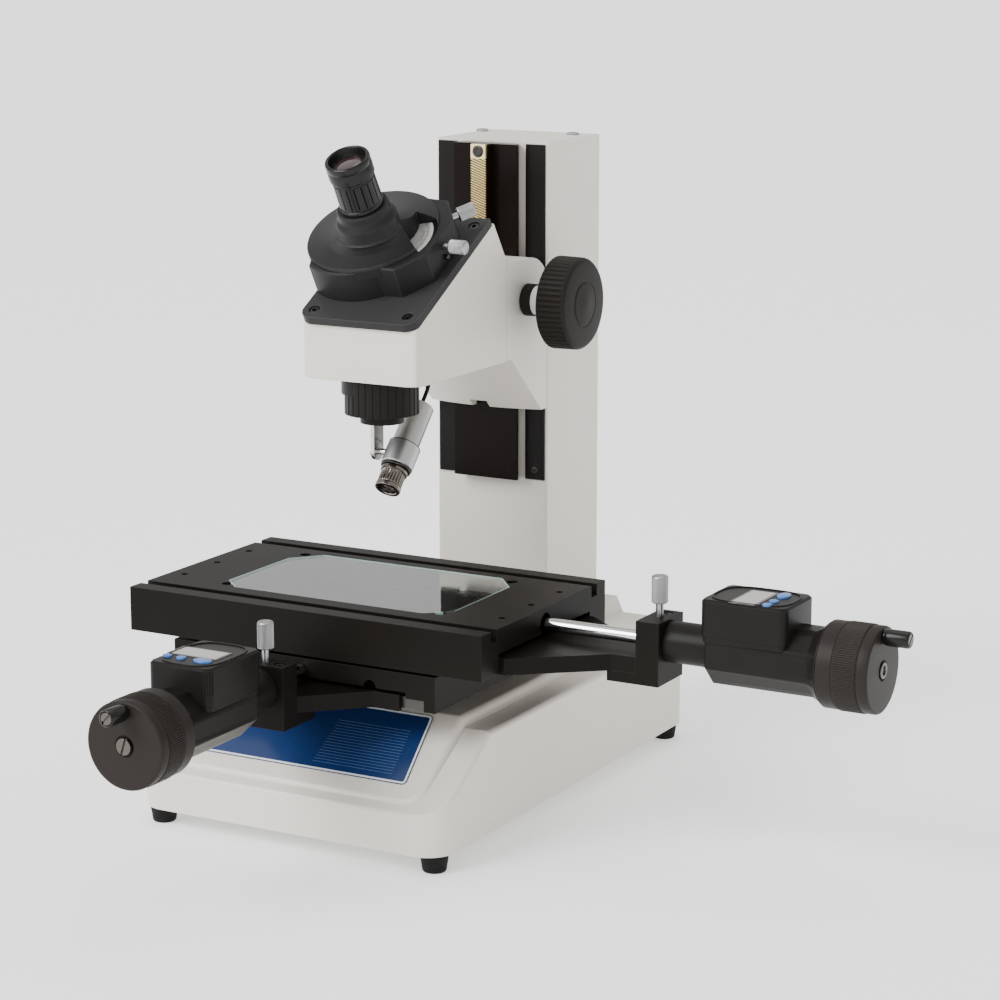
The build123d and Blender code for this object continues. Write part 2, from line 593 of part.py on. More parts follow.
def make_head_body(spindle_room, label, place):
    """Fixed body of a micrometer head: nose, stem, housing, display box and hub."""
    with BuildPart() as body:
        with BuildSketch(Plane.XY):
            Circle(NOSE_R)
        extrude(amount=BLOCK_LEN)
        with BuildSketch(Plane.XY.offset(BLOCK_LEN)):
            Circle(STEM_R)
        extrude(amount=BODY_START_U - BLOCK_LEN)
        with BuildSketch(Plane.XY.offset(BODY_START_U)):
            Rectangle(2 * BODY_HALF, 2 * BODY_HALF)
            chamfer(vertices(), length=BODY_CHAMFER)
        extrude(amount=BODY_END_U - BODY_START_U)
        with BuildSketch(Plane.XY.offset(BODY_END_U)):
            Rectangle(2 * BODY_HALF, 2 * BODY_HALF)
            chamfer(vertices(), length=BODY_CHAMFER)
        with BuildSketch(Plane.XY.offset(FLARE_U)):
            Rectangle(2 * FLARE_HALF, 2 * FLARE_HALF)
            chamfer(vertices(), length=BODY_CHAMFER * FLARE_HALF / BODY_HALF)
        loft(ruled=True)
        with BuildSketch(Plane.XY.offset(FLARE_U)):
            Rectangle(2 * FLARE_HALF, 2 * FLARE_HALF)
            chamfer(vertices(), length=BODY_CHAMFER * FLARE_HALF / BODY_HALF)
        extrude(amount=FLANGE_END_U - FLARE_U)
        with BuildSketch(Plane.XY.offset(FLANGE_END_U)):
            Circle(THIMBLE_HUB_R)
        extrude(amount=THIMBLE_HUB_END_U - FLANGE_END_U)
        with BuildSketch(Plane.XZ.offset(-DISPLAY_LOW_W)):
            with Locations((0, (DISPLAY_START_U + DISPLAY_END_U) / 2)):
                RectangleRounded(2 * DISPLAY_HALF_V - 3, DISPLAY_END_U - DISPLAY_START_U - 3, 4)
        extrude(amount=-(DISPLAY_STEP_W - DISPLAY_LOW_W))
        with BuildSketch(Plane.XZ.offset(-DISPLAY_STEP_W)):
            with Locations((0, (DISPLAY_START_U + DISPLAY_END_U) / 2)):
                RectangleRounded(2 * DISPLAY_HALF_V, DISPLAY_END_U - DISPLAY_START_U, 5)
        extrude(amount=-(DISPLAY_TOP_W - DISPLAY_STEP_W))
        rim = body.faces().sort_by(Axis.Y)[-1].edges()
        chamfer(rim, length=1.2)
        with BuildSketch(Plane.XZ.offset(-DISPLAY_TOP_W)):
            with Locations((LCD_V, LCD_U)):
                Rectangle(LCD_LEN_V, LCD_LEN_U)
        extrude(amount=1.2, mode=Mode.SUBTRACT)
        with BuildSketch(Plane.XZ.offset(-DISPLAY_TOP_W)):
            with Locations((BUTTON_BIG_V, BUTTON_U)):
                Ellipse(5.2 + RUN_GAP, 3.3 + RUN_GAP)
            with Locations((BUTTON_MID_V, BUTTON_U), (BUTTON_END_V, BUTTON_U)):
                Circle(BUTTON_R + RUN_GAP)
        extrude(amount=BUTTON_DEEP + 1, mode=Mode.SUBTRACT)
        with BuildSketch(Plane.XY):
            Circle(SPINDLE_R + SHAFT_GAP)
        extrude(amount=spindle_room, mode=Mode.SUBTRACT)
    save(place.location * body.part, label)


def make_lcd(label, place):
    """Display window lying in its recess."""
    with BuildPart() as lcd:
        with BuildSketch(Plane.XZ.offset(-DISPLAY_TOP_W + 1.2)):
            with Locations((LCD_V, LCD_U)):
                Rectangle(LCD_LEN_V, LCD_LEN_U)
        extrude(amount=-0.8)
    save(place.location * lcd.part, label)


def make_button(v, oval, label, place):
    """One push button standing proud of the display box."""
    with BuildPart() as button:
        with BuildSketch(Plane.XZ.offset(-DISPLAY_TOP_W + BUTTON_DEEP)):
            with Locations((v, BUTTON_U)):
                if oval:
                    Ellipse(5.2, 3.3)
                else:
                    Circle(BUTTON_R)
        extrude(amount=-(BUTTON_DEEP + BUTTON_PROUD))
        fillet(button.faces().sort_by(Axis.Y)[-1].edges(), radius=0.7)
    save(place.location * button.part, label)


def make_thimble(label, place):
    """Hand wheel of a head: smooth ring, knurled ring and cap, bored for the hub."""
    with BuildPart() as thimble:
        with BuildSketch(Plane.XY.offset(THIMBLE_U)):
            Circle(THIMBLE_R)
        extrude(amount=THIMBLE_SMOOTH_L)
        with BuildSketch(Plane.XY.offset(THIMBLE_U + THIMBLE_SMOOTH_L)):
            Circle(THIMBLE_KNURL_R)
        extrude(amount=THIMBLE_KNURL_L)
        with BuildSketch(Plane.XY.offset(THIMBLE_U + THIMBLE_SMOOTH_L + THIMBLE_KNURL_L)):
            Circle(THIMBLE_R)
        extrude(amount=THIMBLE_CAP_L)
        chamfer(thimble.faces().sort_by(Axis.Z)[-1].edges(), length=1.2)
        with BuildSketch(Plane.XY.offset(THIMBLE_U)):
            Circle(THIMBLE_HUB_R + SHAFT_GAP)
        extrude(amount=THIMBLE_HUB_END_U - THIMBLE_U + RUN_GAP, mode=Mode.SUBTRACT)
    save(place.location * thimble.part, label)


THIMBLE_END_U = THIMBLE_U + THIMBLE_SMOOTH_L + THIMBLE_KNURL_L + THIMBLE_CAP_L


def make_thimble_screws(label, place):
    """Slotted centre screw and the shouldered screw the crank knob turns on."""
    with BuildPart() as screws:
        with BuildSketch(Plane.XY.offset(THIMBLE_END_U)):
            Circle(4.7)
        extrude(amount=1.4)
        with BuildSketch(Plane.XY.offset(THIMBLE_END_U + 0.5)):
            Rectangle(0.9, 9.6)
        extrude(amount=1, mode=Mode.SUBTRACT)
        with BuildSketch(Plane.XY.offset(THIMBLE_END_U)):
            with Locations((0, CRANK_W)):
                Circle(CRANK_PIN_R)
        extrude(amount=CRANK_LEN - 2)
        with BuildSketch(Plane.XY.offset(THIMBLE_END_U + CRANK_LEN - 2)):
            with Locations((0, CRANK_W)):
                Circle(CRANK_SCREW_R)
        extrude(amount=2)
        with BuildSketch(Plane.XY.offset(THIMBLE_END_U + CRANK_LEN - 0.9)):
            with Locations((0, CRANK_W)):
                Rectangle(8, 0.8)
        extrude(amount=1, mode=Mode.SUBTRACT)
    save(place.location * screws.part, label)


def make_crank_knob(label, place):
    """Small handle that turns on its own screw at the edge of the thimble."""
    with BuildPart() as knob:
        with BuildSketch(Plane.XY.offset(THIMBLE_END_U + RUN_GAP)):
            with Locations((0, CRANK_W)):
                Circle(CRANK_R)
        extrude(amount=CRANK_LEN - RUN_GAP)
        chamfer(knob.faces().sort_by(Axis.Z)[-1].edges(), length=0.4)
        with BuildSketch(Plane.XY.offset(THIMBLE_END_U)):
            with Locations((0, CRANK_W)):
                Circle(CRANK_PIN_R + SHAFT_GAP)
        extrude(amount=CRANK_LEN, mode=Mode.SUBTRACT)
        with BuildSketch(Plane.XY.offset(THIMBLE_END_U + CRANK_LEN - 2 - RUN_GAP)):
            with Locations((0, CRANK_W)):
                Circle(CRANK_SCREW_R + RUN_GAP)
        extrude(amount=3, mode=Mode.SUBTRACT)
    save(place.location * knob.part, label)


def make_spindle(reach, inside, label, place):
    """Measuring spindle, from its tip in front of the block to its end in the body."""
    with BuildPart() as spindle:
        with BuildSketch(Plane.XY.offset(-reach)):
            Circle(SPINDLE_R)
        extrude(amount=reach + inside)
        chamfer(spindle.faces().sort_by(Axis.Z)[0].edges(), length=0.6)
    save(place.location * spindle.part, label)


def make_clamp_screw(label, place):
    """Knurled thumb screw standing in the clamping block."""
    with BuildPart() as screw:
        with BuildSketch(Plane.XZ.offset(-BLOCK_TOP_W + 4)):
            with Locations((0, BLOCK_LEN / 2)):
                Circle(CLAMP_R)
        extrude(amount=-(CLAMP_HEAD_LOW_W - BLOCK_TOP_W + 4))
        with BuildSketch(Plane.XZ.offset(-CLAMP_HEAD_LOW_W)):
            with Locations((0, BLOCK_LEN / 2)):
                Circle(CLAMP_HEAD_R)
        extrude(amount=-(CLAMP_HEAD_TOP_W - CLAMP_HEAD_LOW_W))
        chamfer(screw.faces().sort_by(Axis.Y)[-1].edges(), length=0.8)
    save(place.location * screw.part, label)


SPINDLE_ROOM = SPINDLE_INSIDE + 50 + 3
HEADS = (
    ("x", head_plane_x(), ARM_X_LOW_Z - HEAD_X_AXIS_Z, SPINDLE_X_OUT + TIP_SOCKET - RUN_GAP,
     SPINDLE_INSIDE),
    ("y", head_plane_y(), ARM_Y_LOW_Z - HEAD_Y_AXIS_Z, SPINDLE_Y_OUT - RUN_GAP,
     SPINDLE_INSIDE + SPINDLE_X_OUT - SPINDLE_Y_OUT),
)
for side, place, seat_w, reach, inside in HEADS:
    make_block(seat_w, side + "_bracket_block", place)
    make_head_body(SPINDLE_ROOM, side + "_head_body", place)
    make_lcd(side + "_lcd", place)
    make_button(BUTTON_BIG_V, True, side + "_button_large", place)
    make_button(BUTTON_MID_V, False, side + "_button_mid", place)
    make_button(BUTTON_END_V, False, side + "_button_end", place)
    make_thimble(side + "_thimble", place)
    make_thimble_screws(side + "_thimble_screws", place)
    make_crank_knob(side + "_crank_knob", place)
    make_spindle(reach, inside, side + "_spindle", place)
    make_clamp_screw(side + "_clamp_screw", place)

# saddle, cross rail plate, side arm
with BuildPart() as saddle:
    with BuildSketch(Plane.XZ.offset(-SADDLE_REAR_Y)):
        Polygon(*mirror_points([(SADDLE_HALF_X, SADDLE_TOP_Z), (SADDLE_HALF_X, SADDLE_LOW_Z),
                                (SADDLE_SKIRT_X, SADDLE_LOW_Z), (SADDLE_SKIRT_X, SADDLE_STEP_Z),
                                (SADDLE_CHAN_X, SADDLE_STEP_Z),
                                (SADDLE_CHAN_X, SADDLE_CHAN_Z)]), align=None)
    extrude(amount=SADDLE_REAR_Y - SADDLE_FRONT_Y)
    with BuildSketch(Plane.XY.offset(SADDLE_TOP_Z)):
        with Locations((0, STAGE_MID_Y + 2)):
            RectangleRounded(126, 84, 8)
    extrude(amount=-20, mode=Mode.SUBTRACT)
    with BuildSketch(Plane.XZ.offset(-SADDLE_FRONT_Y)):
        with Locations((46, SADDLE_CHAN_Z)):
            Circle(4.3)
    extrude(amount=-10, mode=Mode.SUBTRACT)
save(saddle.part, "saddle")

with BuildPart() as x_rail_plate:
    with BuildSketch(Plane.XY.offset(SADDLE_TOP_Z)):
        with Locations(((RAIL_X_LEFT + RAIL_X_RIGHT) / 2, STAGE_MID_Y)):
            Rectangle(RAIL_X_RIGHT - RAIL_X_LEFT, 2 * RAIL_X_HALF_Y)
        with Locations((0, STAGE_MID_Y + 2)):
            RectangleRounded(126, 84, 8, mode=Mode.SUBTRACT)
    extrude(amount=TABLE_CHAN_Z - RUN_GAP - SADDLE_TOP_Z)
save(x_rail_plate.part, "x_rail_plate")

ARM_HALF = RAIL_X_HALF_Y - 0.6
with BuildPart() as x_bracket_arm:
    with BuildSketch(Plane.XY.offset(ARM_X_LOW_Z)):
        Polygon((RAIL_X_RIGHT, STAGE_MID_Y - ARM_HALF), (123, STAGE_MID_Y - ARM_HALF),
                (HEAD_X_FACE - 15, STAGE_MID_Y - BLOCK_HALF_V),
                (HEAD_X_FACE, STAGE_MID_Y - BLOCK_HALF_V),
                (HEAD_X_FACE, STAGE_MID_Y + BLOCK_HALF_V),
                (HEAD_X_FACE - 15, STAGE_MID_Y + BLOCK_HALF_V),
                (123, STAGE_MID_Y + ARM_HALF), (RAIL_X_RIGHT, STAGE_MID_Y + ARM_HALF),
                align=None)
    extrude(amount=ARM_X_TOP_Z - ARM_X_LOW_Z)
save(x_bracket_arm.part, "x_bracket_arm")

# table and its glass
glass_points = [(GLASS_HALF_X - GLASS_CH_FRONT, GLASS_FRONT_Y),
                (GLASS_HALF_X, GLASS_FRONT_Y + GLASS_CH_FRONT),
                (GLASS_HALF_X, GLASS_REAR_Y - GLASS_CH_REAR_Y),
                (GLASS_HALF_X - GLASS_CH_REAR_X, GLASS_REAR_Y)]
with BuildPart() as table:
    with BuildSketch(Plane.YZ.offset(-TABLE_HALF_X)):
        Polygon((TABLE_FRONT_Y, TABLE_LOW_Z), (STAGE_MID_Y - TABLE_CHAN_HALF_Y, TABLE_LOW_Z),
                (STAGE_MID_Y - TABLE_CHAN_HALF_Y, TABLE_CHAN_Z),
                (STAGE_MID_Y + TABLE_CHAN_HALF_Y, TABLE_CHAN_Z),
                (STAGE_MID_Y + TABLE_CHAN_HALF_Y, TABLE_LOW_Z), (TABLE_REAR_Y, TABLE_LOW_Z),
                (TABLE_REAR_Y, TABLE_TOP_Z), (TABLE_REAR_Y - SLOT_INSET + SLOT_W / 2, TABLE_TOP_Z),
                (TABLE_REAR_Y - SLOT_INSET + SLOT_W / 2, TABLE_TOP_Z - SLOT_DEPTH),
                (TABLE_REAR_Y - SLOT_INSET - SLOT_W / 2, TABLE_TOP_Z - SLOT_DEPTH),
                (TABLE_REAR_Y - SLOT_INSET - SLOT_W / 2, TABLE_TOP_Z),
                (TABLE_FRONT_Y + SLOT_INSET + SLOT_W / 2, TABLE_TOP_Z),
                (TABLE_FRONT_Y + SLOT_INSET + SLOT_W / 2, TABLE_TOP_Z - SLOT_DEPTH),
                (TABLE_FRONT_Y + SLOT_INSET - SLOT_W / 2, TABLE_TOP_Z - SLOT_DEPTH),
                (TABLE_FRONT_Y + SLOT_INSET - SLOT_W / 2, TABLE_TOP_Z),
                (TABLE_FRONT_Y, TABLE_TOP_Z), align=None)
    extrude(amount=2 * TABLE_HALF_X)
    with BuildSketch(Plane.XY.offset(TABLE_TOP_Z)):
        Polygon(*mirror_points(glass_points), align=None)
        with Locations((GLASS_HALF_X - 5, GLASS_FRONT_Y + 5), (5 - GLASS_HALF_X, GLASS_FRONT_Y + 5),
                       (GLASS_HALF_X - 5, GLASS_REAR_Y - 6), (5 - GLASS_HALF_X, GLASS_REAR_Y - 6)):
            Circle(3.5)
    extrude(amount=-GLASS_T, mode=Mode.SUBTRACT)
    with BuildSketch(Plane.XY.offset(TABLE_TOP_Z)) as through:
        Polygon(*mirror_points(glass_points), align=None)
        offset(amount=-GLASS_LEDGE, kind=Kind.INTERSECTION, mode=Mode.REPLACE)
    extrude(amount=-(TABLE_TOP_Z - TABLE_CHAN_Z + 1), mode=Mode.SUBTRACT)
    with BuildSketch(Plane.XY.offset(TABLE_TOP_Z)):
        with Locations(*[(x, TAP_MID_Y + k * TAP_PITCH) for x in (-TAP_X, TAP_X)
                         for k in (-1, 0, 1)]):
            Circle(TAP_R)
    extrude(amount=-TAP_DEPTH, mode=Mode.SUBTRACT)
    with BuildSketch(Plane.YZ.offset(TABLE_HALF_X)):
        with Locations((STAGE_MID_Y, HEAD_X_AXIS_Z)):
            Circle(6.5)
    extrude(amount=-TIP_SOCKET, mode=Mode.SUBTRACT)
save(table.part, "table")

with BuildPart() as stage_glass:
    with BuildSketch(Plane.XY.offset(TABLE_TOP_Z - GLASS_T)):
        Polygon(*mirror_points(glass_points), align=None)
    extrude(amount=GLASS_T - 0.2)
save(stage_glass.part, "stage_glass")

# carriage and head casting
tilt_c = math.cos(math.radians(TILT))
tilt_s = math.sin(math.radians(TILT))


def tilt_z(y, depth):
    """Height of the tilted plane of this depth above a point y."""
    return (depth + tilt_s * y) / tilt_c


APEX_T = 65.7
APEX_Y = tilt_c * (AXIS_REACH + APEX_T) - tilt_s * COVER_LOW_D
APEX_Z = tilt_s * (AXIS_REACH + APEX_T) + tilt_c * COVER_LOW_D
LEAD_SLOT_Y = 60.0
LEAD_SLOT_DEEP = 13.0
HOLLOW_REAR_Y = 60.0
HEAD_WALL = 7.0
HEAD_FLOOR = 14.0
with BuildPart() as head_casting:
    with BuildSketch(Plane.YZ.offset(-HEAD_HALF_X)):
        Polygon((NOSE_FRONT_Y, HEAD_LOW_Z), (CARRIAGE_FRONT_Y, HEAD_LOW_Z),
                (CARRIAGE_FRONT_Y, CARRIAGE_TOP_Z + 1.5), (APEX_Y, APEX_Z),
                (NOSE_FRONT_Y, tilt_z(NOSE_FRONT_Y, COVER_LOW_D)), align=None)
    extrude(amount=2 * HEAD_HALF_X)
    fillet(head_casting.edges().filter_by(Axis.Z).sort_by(Axis.Y)[0:2], radius=8)
    with BuildSketch(Plane.YZ.offset(-HEAD_HALF_X + HEAD_WALL)):
        Polygon((NOSE_FRONT_Y + HEAD_WALL, HEAD_LOW_Z + HEAD_FLOOR),
                (HOLLOW_REAR_Y, HEAD_LOW_Z + HEAD_FLOOR), (HOLLOW_REAR_Y, APEX_Z + 5),
                (NOSE_FRONT_Y + HEAD_WALL, APEX_Z + 5), align=None)
    extrude(amount=2 * (HEAD_HALF_X - HEAD_WALL), mode=Mode.SUBTRACT)
    with BuildSketch(Plane.XY.offset(HEAD_LOW_Z)):
        with Locations((0, LEAD_SLOT_Y)):
            SlotOverall(18, 6, rotation=90)
    extrude(amount=LEAD_SLOT_DEEP, mode=Mode.SUBTRACT)
save(head_casting.part, "head_casting")

JAW_GAP = 0.1
jaw_tip_half = WAY_HALF_X - WAY_UNDERCUT * (CARRIAGE_REAR_Y - WAY_FRONT_Y) + JAW_GAP
with BuildPart() as carriage:
    with BuildSketch(Plane.YZ.offset(-HEAD_HALF_X)):
        with BuildLine():
            Polyline((CARRIAGE_FRONT_Y, CARRIAGE_TOP_Z), (CARRIAGE_FRONT_Y, HEAD_LOW_Z),
                     (CARRIAGE_FRONT_Y + 6.8, HEAD_LOW_Z),
                     (CARRIAGE_FRONT_Y + 8, CARRIAGE_LOW_Z + 21),
                     (CARRIAGE_FRONT_Y + 12, CARRIAGE_LOW_Z + 6),
                     (CARRIAGE_FRONT_Y + 18, CARRIAGE_LOW_Z),
                     (CARRIAGE_REAR_Y, CARRIAGE_LOW_Z), (CARRIAGE_REAR_Y, CARRIAGE_TOP_Z - 7.7))
            ThreePointArc((CARRIAGE_REAR_Y, CARRIAGE_TOP_Z - 7.7),
                          (CARRIAGE_REAR_Y - 6, CARRIAGE_TOP_Z - 2.1),
                          (CARRIAGE_REAR_Y - 18, CARRIAGE_TOP_Z))
            Line((CARRIAGE_REAR_Y - 18, CARRIAGE_TOP_Z), (CARRIAGE_FRONT_Y, CARRIAGE_TOP_Z))
        make_face()
    extrude(amount=2 * HEAD_HALF_X)
    with BuildSketch(Plane.XZ.offset(-CARRIAGE_REAR_Y)):
        Polygon((HEAD_HALF_X, CARRIAGE_LOW_Z), (HEAD_HALF_X, CARRIAGE_LOW_Z + 7),
                (HEAD_HALF_X - 12.6, CARRIAGE_LOW_Z), align=None)
        Polygon((-HEAD_HALF_X, CARRIAGE_LOW_Z), (-HEAD_HALF_X, CARRIAGE_LOW_Z + 7),
                (12.6 - HEAD_HALF_X, CARRIAGE_LOW_Z), align=None)
    extrude(amount=60, mode=Mode.SUBTRACT)
    with BuildSketch(Plane.XY.offset(CARRIAGE_LOW_Z - 1)):
        Polygon((-WAY_HALF_X - JAW_GAP, WAY_FRONT_Y - JAW_GAP),
                (WAY_HALF_X + JAW_GAP, WAY_FRONT_Y - JAW_GAP),
                (jaw_tip_half, CARRIAGE_REAR_Y), (-jaw_tip_half, CARRIAGE_REAR_Y), align=None)
        with Locations((0, (RACK_TIP_Y + WAY_FRONT_Y) / 2 - 0.4)):
            Rectangle(2 * RACK_HALF_X + 1.2, WAY_FRONT_Y - RACK_TIP_Y + 0.8)
    extrude(amount=CARRIAGE_TOP_Z - CARRIAGE_LOW_Z + 2, mode=Mode.SUBTRACT)
    with BuildSketch(Plane.YZ.offset(-3.2)):
        with Locations((FOCUS_Y, FOCUS_Z)):
            Circle(PITCH_R + TOOTH_ADD + 0.6)
    extrude(amount=6.4, mode=Mode.SUBTRACT)
    with BuildSketch(Plane.YZ.offset(-HEAD_HALF_X)):
        with Locations((FOCUS_Y, FOCUS_Z)):
            Circle(SHAFT_R + SHAFT_GAP)
    extrude(amount=2 * HEAD_HALF_X, mode=Mode.SUBTRACT)
save(carriage.part, "carriage")

# focus shaft, pinion, knobs
tip = TOOTH_W / 2 - TOOTH_ADD * FLANK
root = TOOTH_W / 2 + TOOTH_DED * FLANK
PINION_HALF = 2.5
focus_axis = Axis((0, FOCUS_Y, FOCUS_Z), (1, 0, 0))
with BuildPart() as pinion_tooth:
    with BuildSketch(Plane(origin=(-PINION_HALF, FOCUS_Y, FOCUS_Z - PINION_HALF * HELIX_SLOPE),
                           x_dir=(0, 1, 0), z_dir=(1, 0, 0))):
        Polygon((PITCH_R - TOOTH_DED - 0.3, -root), (PITCH_R + TOOTH_ADD, -tip),
                (PITCH_R + TOOTH_ADD, tip), (PITCH_R - TOOTH_DED - 0.3, root), align=None)
    extrude(amount=math.hypot(2 * PINION_HALF, 2 * PINION_HALF * HELIX_SLOPE),
            dir=(1, 0, HELIX_SLOPE))
with BuildPart() as focus_shaft:
    with BuildSketch(Plane.YZ.offset(-KNOB_OUT_X + 2)):
        with Locations((FOCUS_Y, FOCUS_Z)):
            Circle(SHAFT_R)
    extrude(amount=2 * (KNOB_OUT_X - 2))
    with BuildSketch(Plane.YZ.offset(-PINION_HALF)):
        with Locations((FOCUS_Y, FOCUS_Z)):
            Circle(PITCH_R - TOOTH_DED)
    extrude(amount=2 * PINION_HALF)
    add([pinion_tooth.part.rotate(focus_axis, k * 360 / PINION_TEETH)
         for k in range(PINION_TEETH)])
save(focus_shaft.part, "focus_shaft")

with BuildPart() as focus_knobs:
    for sign in (-1, 1):
        with BuildSketch(Plane.YZ.offset(sign * KNOB_IN_X)):
            with Locations((FOCUS_Y, FOCUS_Z)):
                Circle(KNOB_R)
                with PolarLocations(KNOB_R + 0.5, 48):
                    Circle(0.9, mode=Mode.SUBTRACT)
                Circle(SHAFT_R, mode=Mode.SUBTRACT)
        extrude(amount=sign * (KNOB_OUT_X - KNOB_IN_X - 2))
        with BuildSketch(Plane.YZ.offset(sign * (KNOB_OUT_X - 2))):
            with Locations((FOCUS_Y, FOCUS_Z)):
                Circle(KNOB_R - 1)
        extrude(amount=sign * 2)
        with BuildSketch(Plane.YZ.offset(sign * KNOB_OUT_X)):
            with Locations((FOCUS_Y, FOCUS_Z)):
                Circle(KNOB_DISC_R)
        extrude(amount=sign * (KNOB_DISC_OUT_X - KNOB_OUT_X))
        with BuildSketch(Plane.YZ.offset(sign * (HEAD_HALF_X + RUN_GAP))):
            with Locations((FOCUS_Y, FOCUS_Z)):
                Circle(10)
                Circle(SHAFT_R, mode=Mode.SUBTRACT)
        extrude(amount=sign * (KNOB_COLLAR_X - HEAD_HALF_X - RUN_GAP))
save(focus_knobs.part, "focus_knobs")

with BuildPart() as focus_rings:
    for sign in (-1, 1):
        with BuildSketch(Plane.YZ.offset(sign * KNOB_COLLAR_X)):
            with Locations((FOCUS_Y, FOCUS_Z)):
                Circle(9)
                Circle(SHAFT_R, mode=Mode.SUBTRACT)
        extrude(amount=sign * (KNOB_IN_X - KNOB_COLLAR_X))
save(focus_rings.part, "focus_rings")

# cover plate, drum, eyepiece, dial and its screws
with BuildPart() as cover_plate:
    with BuildSketch(tilt_plane(COVER_LOW_D)):
        with Locations((0, (COVER_FRONT_T + COVER_REAR_T) / 2)):
            Rectangle(2 * HEAD_HALF_X, COVER_REAR_T - COVER_FRONT_T)
        fillet(vertices().sort_by(Axis.Y)[0:2], radius=8)
    extrude(amount=COVER_TOP_D - COVER_LOW_D)
    with BuildSketch(tilt_plane(COVER_TOP_D)):
        with Locations((32, -34), (-32, -34), (32, 56), (-32, 56)):
            Circle(3.6)
    extrude(amount=-2.6, mode=Mode.SUBTRACT)
save(cover_plate.part, "cover_plate")

with BuildPart() as cover_screws:
    with BuildSketch(tilt_plane(COVER_TOP_D - 2.6)):
        with Locations((32, -34), (-32, -34), (32, 56), (-32, 56)):
            Circle(3.0)
            RegularPolygon(1.5, 6, mode=Mode.SUBTRACT)
    extrude(amount=2.2)
save(cover_screws.part, "cover_screws")

FEED_X = math.cos(math.radians(FEED_ANGLE))
FEED_T = math.sin(math.radians(FEED_ANGLE))
feed_mid = tilt_plane(FEED_D)


def tilt_radial(radius, angle, depth):
    """Plane square to a line running outward from the drum's centre."""
    base = tilt_plane(depth)
    ca = math.cos(math.radians(angle))
    sa = math.sin(math.radians(angle))
    out = base.x_dir * ca + base.y_dir * sa
    origin = base.origin + base.x_dir * DRUM_X + base.y_dir * DRUM_T + out * radius
    return Plane(origin=origin, x_dir=base.z_dir, z_dir=out)


def lock_plane(x):
    """Plane square to the clamp screw's axis at this x."""
    base = tilt_plane(LOCK_D)
    origin = base.origin + base.x_dir * x + base.y_dir * LOCK_T
    return Plane(origin=origin, x_dir=base.y_dir, z_dir=(1, 0, 0))


WINDOW_FROM = -22.0
WINDOW_TO = 42.0
WINDOW_IN_R = 21.0
WINDOW_OUT_R = 34.0
with BuildPart() as drum_housing:
    with BuildSketch(tilt_plane(COVER_TOP_D)):
        with Locations((DRUM_X, DRUM_T)):
            Circle(DRUM_R)
        with Locations((-10, 10)):
            Circle(34)
        Polygon((-39.8, 2), (-39.8, -18), (-34, -22), (-20, -18), (-20, 2), align=None)
        Polygon((9, -16.8), (19.5, -16.7), (27, -8), (10, 0), align=None)
        with Locations((-60, 10)):
            Rectangle(38.6, 100, mode=Mode.SUBTRACT)
    extrude(amount=DRUM_WALL_D - COVER_TOP_D)
    with BuildSketch(tilt_plane(DRUM_WALL_D)):
        with Locations((DRUM_X, DRUM_T)):
            Circle(DRUM_R)
    with BuildSketch(tilt_plane(DRUM_RIM_D)):
        with Locations((DRUM_X - 0.5, DRUM_T + 1.5)):
            Circle(DRUM_R - 1.5)
    loft()
    with BuildSketch(tilt_plane(DRUM_RIM_D)):
        with Locations((DRUM_X - 0.5, DRUM_T + 1.5)):
            Circle(DRUM_R - 1.5)
    with BuildSketch(tilt_plane(COLLAR_D)):
        Circle(COLLAR_R + 1.5)
    loft()
    with BuildSketch(tilt_plane(COLLAR_D)):
        Circle(COLLAR_R)
    with BuildSketch(tilt_plane(COLLAR_TOP_D)):
        Circle(COLLAR_TOP_R)
    loft()
    with BuildSketch(tilt_radial(30, FEED_ANGLE, FEED_D)):
        Circle(6)
    extrude(amount=14)
    with BuildSketch(tilt_plane(DIAL_LOW_D - 0.4)):
        with Locations((DRUM_X, DRUM_T)):
            Circle(DIAL_R + 0.4)
    extrude(amount=DIAL_T + 0.8, mode=Mode.SUBTRACT)
    with BuildSketch(tilt_plane(DIAL_LOW_D)):
        with BuildLine():
            CenterArc((DRUM_X, DRUM_T), WINDOW_IN_R, WINDOW_FROM, WINDOW_TO - WINDOW_FROM)
            CenterArc((DRUM_X, DRUM_T), WINDOW_OUT_R, WINDOW_FROM, WINDOW_TO - WINDOW_FROM)
            for angle in (WINDOW_FROM, WINDOW_TO):
                ca = math.cos(math.radians(angle))
                sa = math.sin(math.radians(angle))
                Line((DRUM_X + WINDOW_IN_R * ca, DRUM_T + WINDOW_IN_R * sa),
                     (DRUM_X + WINDOW_OUT_R * ca, DRUM_T + WINDOW_OUT_R * sa))
        make_face()
    extrude(amount=COLLAR_D - DIAL_LOW_D + 3.6, mode=Mode.SUBTRACT)
    with BuildSketch(tilt_plane(DIAL_LOW_D)):
        with Locations((DRUM_X, DRUM_T)):
            Circle(4 + SHAFT_GAP)
    extrude(amount=-8, mode=Mode.SUBTRACT)
    with BuildSketch(tilt_plane(COLLAR_TOP_D)):
        Circle(EYE_SPIGOT_R + SHAFT_GAP)
    extrude(amount=-(EYE_SPIGOT_L + 4), mode=Mode.SUBTRACT)
    with BuildSketch(tilt_radial(36, FEED_ANGLE, FEED_D)):
        Circle(2 + SHAFT_GAP)
    extrude(amount=12, mode=Mode.SUBTRACT)
    with BuildSketch(lock_plane(24)):
        Circle(2 + SHAFT_GAP)
    extrude(amount=16, mode=Mode.SUBTRACT)
save(drum_housing.part, "drum_housing")

with BuildPart() as angle_dial:
    with BuildSketch(tilt_plane(DIAL_LOW_D)):
        with Locations((DRUM_X, DRUM_T)):
            Circle(DIAL_R)
    extrude(amount=DIAL_T)
    with BuildSketch(tilt_plane(DIAL_LOW_D)):
        with Locations((DRUM_X, DRUM_T)):
            Circle(4)
    extrude(amount=-7.5)
save(angle_dial.part, "angle_dial")

